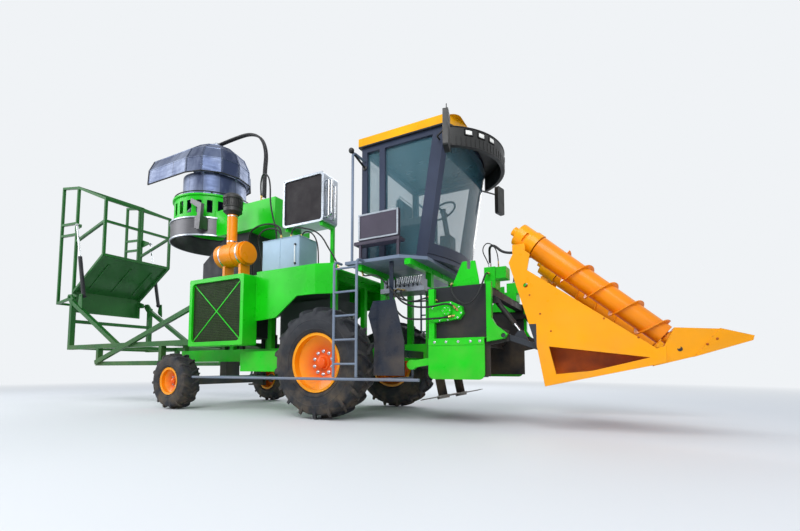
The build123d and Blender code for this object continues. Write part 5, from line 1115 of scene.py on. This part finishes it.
# %% Radiator corners, seams and pipes
RADIATOR_X = (-1.185, -0.39)
RADIATOR_Z = (2.82, 3.585)
RADIATOR_FACE_Y = -0.56
EDGE_IN = 0.017
fixings = begin()
edges_x = (RADIATOR_X[0] + EDGE_IN, RADIATOR_X[1] - EDGE_IN)
for x in (edges_x[0], sum(RADIATOR_X) / 2, edges_x[1]):
    for z in (RADIATOR_Z[0] + EDGE_IN, RADIATOR_Z[1] - EDGE_IN):
        add_bolt(fixings, here(x, RADIATOR_FACE_Y, z), (0, -1, 0), 0.014, 0.009)
for x in edges_x:
    for z in (2.98, 3.20, 3.42):
        add_bolt(fixings, here(x, RADIATOR_FACE_Y, z), (0, -1, 0), 0.012, 0.008)
finish_piece(fixings, "radiator_bolts", bright_steel)
stays = begin()
middle = here(sum(RADIATOR_X) / 2, -0.5225, sum(RADIATOR_Z) / 2)
for slant in (-1, 1):
    reach = Vector((0.36, 0, 0.345 * slant))
    add_rod(stays, middle - reach, middle + reach, 0.0025, sides=6)
finish_piece(stays, "radiator_stays", throat_black)
pipes = begin()
bulge = Vector((0.05, 0, 0))
for y, low, high, radius in ((-0.49, 2.90, 3.46, 0.016), (-0.42, 2.96, 3.50, 0.020),
                             (-0.33, 2.90, 3.42, 0.014)):
    start, end = here(RADIATOR_X[1] - 0.005, y, low), here(RADIATOR_X[1] - 0.005, y, high)
    add_tube(pipes, rounded_path([start, start + bulge, end + bulge, end], 0.035), radius, sides=12)
    for spot in (start + bulge + UP * 0.10, end + bulge - UP * 0.10):
        add_band(pipes, spot, UP, 0.012, radius + 0.001, radius + 0.005, 16)
finish_piece(pipes, "radiator_pipes", bright_steel, smooth=True)

# %% Air cleaner bands and clamps, and the vanes round the pre-cleaner
CLEANER_R = 0.185
PIPE_R = 0.078
VANES = 28
clamps = begin()
for x in (-2.12, -1.74):
    drum_mid = here(x, -0.80, 2.44)
    add_band(clamps, drum_mid, AHEAD, 0.014, CLEANER_R - 0.001, CLEANER_R + 0.003, 48)
    add_bolt(clamps, drum_mid + UP * (CLEANER_R + 0.002), UP, 0.016, 0.014)
pipe_mid = here(-2.03, -0.80, 0)
for z in (2.66, 3.075):
    add_band(clamps, pipe_mid + UP * z, UP, 0.008, PIPE_R - 0.001, PIPE_R + 0.003, 32)
finish_piece(clamps, "air_cleaner_clamps", bright_steel, smooth=True)
vanes = begin()
for step in range(VANES):
    out = around(2 * pi * step / VANES)
    foot = pipe_mid + out * 0.146
    add_bar(vanes, foot + UP * 3.225, foot + UP * 3.355, 0.008, 0.008, flat=UP.cross(out))
for z in (3.22, 3.36):
    add_band(vanes, pipe_mid + UP * z, UP, 0.006, 0.145, 0.152, 40)
finish_piece(vanes, "pre_cleaner_vanes", black_plastic, smooth=True)

# %% Oil tank
TANK_X = (-1.41, -0.67)
TANK_Y = (-0.75, -0.33)
TANK_TOP = 2.595
CAP_GRIPS = 16
SIGHT_X = -0.74
tank_trim = begin()
folded = rounded_rectangle(here(sum(TANK_X) / 2, sum(TANK_Y) / 2, TANK_TOP - 0.008), AHEAD, LEFT,
                           TANK_X[1] - TANK_X[0] + 0.004, TANK_Y[1] - TANK_Y[0] + 0.004, 0.016, 3)
add_tube(tank_trim, folded + folded[:1], 0.007)
add_bar(tank_trim, here(-1.04, TANK_Y[0] - 0.001, 2.06), here(-1.04, TANK_Y[0] - 0.001, TANK_TOP - 0.014),
        0.004, 0.010)
finish_piece(tank_trim, "tank_seams", tank_blue, smooth=True)
gauge = begin()
for step in range(CAP_GRIPS):
    out = around(2 * pi * step / CAP_GRIPS)
    foot = here(-1.25, -0.44, 0) + out * 0.062
    add_bar(gauge, foot + UP * (TANK_TOP + 0.024), foot + UP * 2.655, 0.008, 0.006, flat=UP.cross(out))
for z in (2.18, 2.46):
    add_bolt(gauge, here(SIGHT_X, TANK_Y[0], z), (0, -1, 0), 0.024, 0.022)
finish_piece(gauge, "tank_cap_grips", lamp_black)
sight = begin()
add_rod(sight, *(here(SIGHT_X, TANK_Y[0] - 0.014, z) for z in (2.19, 2.45)), 0.007, sides=12)
finish_piece(sight, "tank_sight_glass", lens_white, smooth=True)

# %% Condenser frame
CONDENSER_X = (0.60, 1.16)
CONDENSER_Z = (2.22, 2.545)
CONDENSER_FACE_Y = -1.1
edge_bars = begin()
rails_z, rails_x = ((low + 0.010, high - 0.010) for low, high in (CONDENSER_Z, CONDENSER_X))
for z in rails_z:
    add_bar(edge_bars, *(here(x, CONDENSER_FACE_Y, z) for x in CONDENSER_X), 0.010, 0.020)
for x in rails_x:
    add_bar(edge_bars, *(here(x, CONDENSER_FACE_Y, z) for z in CONDENSER_Z), 0.010, 0.020)
    for z in rails_z:
        add_bolt(edge_bars, here(x, CONDENSER_FACE_Y - 0.005, z), (0, -1, 0), 0.012, 0.006)
finish_piece(edge_bars, "condenser_frame", silver)

# %% [markdown]
# ## Front frame details
# The skirt is folded outward at its top and hangs on five bolts. The drive cover
# has a row of screws round its edge and its roller hub a ring of small ones.

# %% Skirt fold and its bolts
SKIRT_FACE_Y = 0.964
FOLD = ((1.482, 0.905), (2.138, 0.905), (2.138, 0.983), (1.482, 0.983))
folds, skirt_bolts = begin(), begin()
for side in (-1, 1):
    add_loops(folds, [[here(x, side * (SKIRT_FACE_Y + 0.002) + half, z) for x, z in FOLD]
                      for half in (-0.004, 0.004)])
    for x in (1.56, 1.70, 1.845, 1.985, 2.09):
        add_bolt(skirt_bolts, here(x, side * (SKIRT_FACE_Y + 0.006), 0.942), (0, side, 0), 0.020, 0.012)
finish_piece(folds, "skirt_folds", body_green)
finish_piece(skirt_bolts, "skirt_bolts", bright_steel)

# %% Drive cover and roller hub
COVER_SCREWS = ((1.53, 1.21), (1.53, 1.335), (1.642, 1.372), (1.753, 1.378), (1.85, 1.33), (1.875, 1.262),
                (1.835, 1.212), (1.72, 1.192), (1.62, 1.190))
HUB_RING = ((-0.002, 0.050), (0.006, 0.046), (0.006, 0.034), (0.001, 0.030), (0.001, 0.014), (0.008, 0.012),
            (0.010, 0.001))
HUB_X, HUB_Z = 1.72, 1.29
HUB_SCREW_CIRCLE = 0.04
screws, hub_rings = begin(), begin()
for side in (-1, 1):
    for x, z in COVER_SCREWS:
        add_bolt(screws, here(x, side * 0.96, z), (0, side, 0), 0.013, 0.008)
    add_turned(hub_rings, here(HUB_X, side * 1.0, HUB_Z), (0, side, 0), HUB_RING, sides=32)
    for turn in (radians(60 * index) for index in range(6)):
        x, z = HUB_X + HUB_SCREW_CIRCLE * cos(turn), HUB_Z + HUB_SCREW_CIRCLE * sin(turn)
        add_bolt(screws, here(x, side * 1.005, z), (0, side, 0), 0.008, 0.005)
finish_piece(screws, "drive_cover_screws", bright_steel)
finish_piece(hub_rings, "drive_hub_rings", body_green, smooth=True)

# %% Rod eyes at the basket
EYE_X, EYE_Z = -6.905, 3.74
eye_pins = begin()
for side in (-1, 1):
    spot = here(EYE_X, side * 0.82, EYE_Z)
    add_turned(eye_pins, spot, (0, side, 0), ((-0.001, 0.024), (0.004, 0.024), (0.004, 0.013)), sides=20)
    add_bolt(eye_pins, spot + LEFT * (side * 0.003), (0, side, 0), 0.026, 0.014, washer=1.0)
finish_piece(eye_pins, "tipping_eye_nuts", bright_steel, "tipping_rods")

# %% Divider bolts and drain holes
SHEET_FACE_Y = 0.958
NOSE_SEAM_BOLTS = ((4.168, 0.903, 0.909), (4.096, 0.858, 0.916))
rivets, holes = begin(), begin()
for side in (-1, 1):
    for x, z in ((2.62, 1.40), (2.72, 1.20), (2.82, 1.02), (3.30, 1.12), (3.58, 0.93)):
        add_bolt(rivets, here(x, side * SHEET_FACE_Y, z), (0, side, 0), 0.012, 0.005)
    for x, z, y in NOSE_SEAM_BOLTS:
        add_bolt(rivets, here(x, side * y, z), (0.1, side, 0), 0.014, 0.006)
    add_turned(holes, here(3.894, side * 0.9375, 0.819), (0.1, side, 0),
               ((0.0, 0.021), (0.002, 0.021), (0.002, 0.015), (0.0012, 0.014)), sides=24)
finish_piece(rivets, "divider_bolts", rusty_orange, "divider_pair")
finish_piece(holes, "divider_drains", throat_black, "divider_pair")

# %% Hoop of oil pipe round the hood's neck, on six lugs
HOOP_R = 0.70
HOOP_STEPS = 48
NECK_R = 0.563
hoop = begin()
centre = here(-3.5, 0, 3.818)
add_tube(hoop, [centre + around(2 * pi * i / HOOP_STEPS) * HOOP_R for i in range(HOOP_STEPS + 1)], 0.011)
for index in range(6):
    out = around(pi / 3 * index + 0.3)
    add_bar(hoop, *(centre + out * radius - UP * 0.012 for radius in (NECK_R, HOOP_R)), 0.006, 0.03, flat=UP)
finish_piece(hoop, "hood_pipe_hoop", lamp_black, "hood", smooth=True)

# %% [markdown]
# ## Hydraulic hoses
# The valve bank feeds the roller, the cutters and the fan through hoses that hang
# in open loops along the near side. Each one leaves its port straight, bends no
# tighter than four times its thickness and goes into a crimped fitting.

# %% Fittings on a hose's ends


def add_crimp(mesh, spot, way, radius):
    """Crimped sleeve, hexagon nut and port of a hose end; way points into the port."""
    way = way.normalized()
    back = spot - way * 0.075
    add_turned(mesh, back, way, ((0, radius * 1.02), (0.002, radius * 1.28), (0.038, radius * 1.28),
                                 (0.040, radius * 0.95), (0.050, radius * 0.95)), sides=16)
    _, across, up = frame_along(back, spot)
    add_loops(mesh, [circle_points(back + way * far, across, up, radius * 1.45, 6) for far in (0.048, 0.068)])
    add_turned(mesh, back, way, ((0.066, radius * 1.05), (0.079, radius * 1.05)), sides=14)


def add_port_hoses(hoses):
    """Hoses between two ports, with fittings along the ends of each hose's own line."""
    for name, (radius, route) in hoses.items():
        _, spots = free_hose(name, route, radius)
        fittings = begin()
        add_crimp(fittings, spots[0], spots[0] - spots[3], radius)
        add_crimp(fittings, spots[-1], spots[-1] - spots[-4], radius)
        finish_piece(fittings, name + "_fittings", brass)


# %% Hoses at the front frame
add_port_hoses({
    "gear_hose_front": (0.006, (
        (2.2, -0.56, 1.8203), (2.2, -0.56, 1.95), (2.16, -0.58, 2.08), (2.07, -0.6, 2.13),
        (2.0, -0.56, 2.05), (2.05, -0.5, 1.93), (2.09, -0.5, 1.8203))),
    "roller_loop": (0.01, (
        (1.74, -0.8572, 1.62), (1.75, -0.93, 1.6), (1.78, -0.985, 1.49), (1.87, -1.0, 1.37),
        (1.99, -1.0, 1.34), (2.09, -0.99, 1.45), (2.13, -0.93, 1.62), (2.12, -0.79, 1.73),
        (2.11, -0.6402, 1.74))),
    "valve_hose_upper": (0.011, (
        (1.0, -0.7602, 1.635), (1.0, -0.84, 1.625), (1.03, -0.94, 1.56), (1.12, -1.0, 1.46),
        (1.24, -1.01, 1.385), (1.38, -1.01, 1.35), (1.55, -1.01, 1.345), (1.68, -1.01, 1.37),
        (1.79, -1.0, 1.36), (1.84, -0.9602, 1.29))),
    "valve_hose_middle": (0.01, (
        (1.06, -0.7602, 1.625), (1.06, -0.84, 1.61), (1.1, -0.92, 1.53), (1.2, -0.965, 1.445),
        (1.33, -0.975, 1.425), (1.46, -0.96, 1.43), (1.561, -0.8902, 1.434))),
    "valve_hose_lower": (0.011, (
        (0.92, -0.7602, 1.635), (0.92, -0.85, 1.6), (0.97, -0.93, 1.47), (1.07, -0.955, 1.32),
        (1.18, -0.965, 1.235), (1.34, -0.99, 1.215), (1.55, -1.01, 1.208), (1.7, -1.01, 1.212),
        (1.8, -0.9602, 1.235))),
    "ladder_hose": (0.009, (
        (0.572, -0.97, 1.8698), (0.6, -0.99, 1.8), (0.7, -1.0, 1.8), (0.82, -1.02, 1.79),
        (0.93, -1.04, 1.7), (1.05, -1.06, 1.57), (1.17, -1.05, 1.45), (1.32, -1.0, 1.42),
        (1.45, -0.94, 1.47), (1.52, -0.8902, 1.5))),
})

# %% Hoses at the tank, the cleaner and the extractor
add_port_hoses({
    "drum_hose": (0.013, (
        (-1.8, -0.42, 3.4503), (-1.8, -0.44, 3.58), (-1.72, -0.52, 3.72), (-1.58, -0.6, 3.8),
        (-1.44, -0.62, 3.7), (-1.4, -0.62, 3.52), (-1.42, -0.6, 3.3), (-1.4, -0.56, 3.05),
        (-1.34, -0.52, 2.82), (-1.34, -0.52, 2.5952))),
    "tank_arc_high": (0.014, (
        (-1.14, -0.62, 2.5952), (-1.14, -0.62, 2.76), (-1.24, -0.63, 2.88), (-1.45, -0.64, 2.92),
        (-1.68, -0.63, 2.91), (-1.86, -0.6, 2.85), (-1.97, -0.52, 2.7), (-1.99, -0.42, 2.5),
        (-1.99, -0.4, 2.28), (-1.99, -0.4, 2.0402))),
    "tank_arc_low": (0.012, (
        (-1.08, -0.68, 2.5952), (-1.08, -0.69, 2.7), (-1.2, -0.7, 2.79), (-1.42, -0.7, 2.81),
        (-1.6, -0.66, 2.74), (-1.7, -0.56, 2.6), (-1.72, -0.48, 2.4), (-1.72, -0.46, 2.2),
        (-1.72, -0.46, 2.0402))),
    "deck_hose_long": (0.011, (
        (-0.95, -0.62, 2.5952), (-0.95, -0.62, 2.7), (-0.86, -0.63, 2.78), (-0.66, -0.64, 2.72),
        (-0.48, -0.64, 2.66), (-0.33, -0.64, 2.54), (-0.22, -0.64, 2.36), (-0.1, -0.64, 2.2),
        (-0.04, -0.62, 2.0402))),
    "deck_hose_short": (0.01, (
        (-0.8, -0.56, 2.5952), (-0.8, -0.56, 2.67), (-0.7, -0.55, 2.72), (-0.58, -0.54, 2.65),
        (-0.5, -0.54, 2.5), (-0.48, -0.54, 2.3), (-0.48, -0.54, 2.0402))),
})

# %% Fittings where the large hoses go in
big_fittings = begin()
for shift in HOOD_HOSE_SHIFTS:
    x, y, z = HOOD_ROUTE[-1]
    spot = here(x, y + shift, z)
    add_turned(big_fittings, spot - UP * 0.001, UP, ((0, 0.024), (0.075, 0.024), (0.078, 0.021)), sides=16)
    add_loops(big_fittings, [circle_points(spot + UP * far, AHEAD, LEFT, 0.0228, 6)
                             for far in (-0.001, 0.026)])
for side in (-1, 1):
    x, y, z = DIVIDER_ROUTE[0]
    spot = here(x, side * y, z)
    add_turned(big_fittings, spot - UP * 0.001, UP, ((0, 0.019), (0.05, 0.019), (0.052, 0.0145)), sides=16)
finish_piece(big_fittings, "large_hose_fittings", bright_steel, smooth=True)

# %% Spool springs of the valves, a row of pale coils under their covers
SPRINGS = 11
FIRST_SPRING, LAST_SPRING = 0.985, 1.30
springs = begin()
for index in range(SPRINGS):
    x = FIRST_SPRING + index * (LAST_SPRING - FIRST_SPRING) / (SPRINGS - 1)
    path = rounded_path([here(x, -0.757, 1.678), here(x - 0.006, -0.80, 1.69), here(x + 0.018, -0.80, 1.785),
                         here(x + 0.012, -0.757, 1.795)], 0.02)
    add_tube(springs, path, 0.0065)
finish_piece(springs, "valve_spring_row", bright_steel, smooth=True)

# %% Handrail ball and its arm to the cab
BALL_R = 0.036
half_circle = [(-BALL_R * cos(pi * i / 10), BALL_R * sin(pi * i / 10)) for i in range(11)]
clamp = begin()
ball = here(0.485, -1.1, 3.41)
add_turned(clamp, ball, UP, half_circle, sides=24)
pillar_spot = here(0.50, -0.800, 3.30)
add_rod(clamp, ball, pillar_spot, 0.014)
add_turned(clamp, pillar_spot, (0, -1, 0), ((-0.002, 0.03), (0.012, 0.03), (0.018, 0.016)), sides=20)
finish_piece(clamp, "handrail_clamp", lamp_black, smooth=True)

# %% [markdown]
# ## Basket
# Folded stiffeners run down the underside of the basket's sloping floor.

# %% Floor stiffeners
FLOOR_SLOPE = 0.62


def floor_under(x, y):
    """Underside of the basket's floor."""
    return here(x, y, 2.838 + FLOOR_SLOPE * (x + 6.3) - 0.008)


ribs = begin()
for y in (-0.46, 0.0, 0.46):
    add_bar(ribs, floor_under(-6.25, y), floor_under(-6.98, y), 0.036, 0.022)
finish_piece(ribs, "basket_floor_ribs", rear_green, "cane_basket")
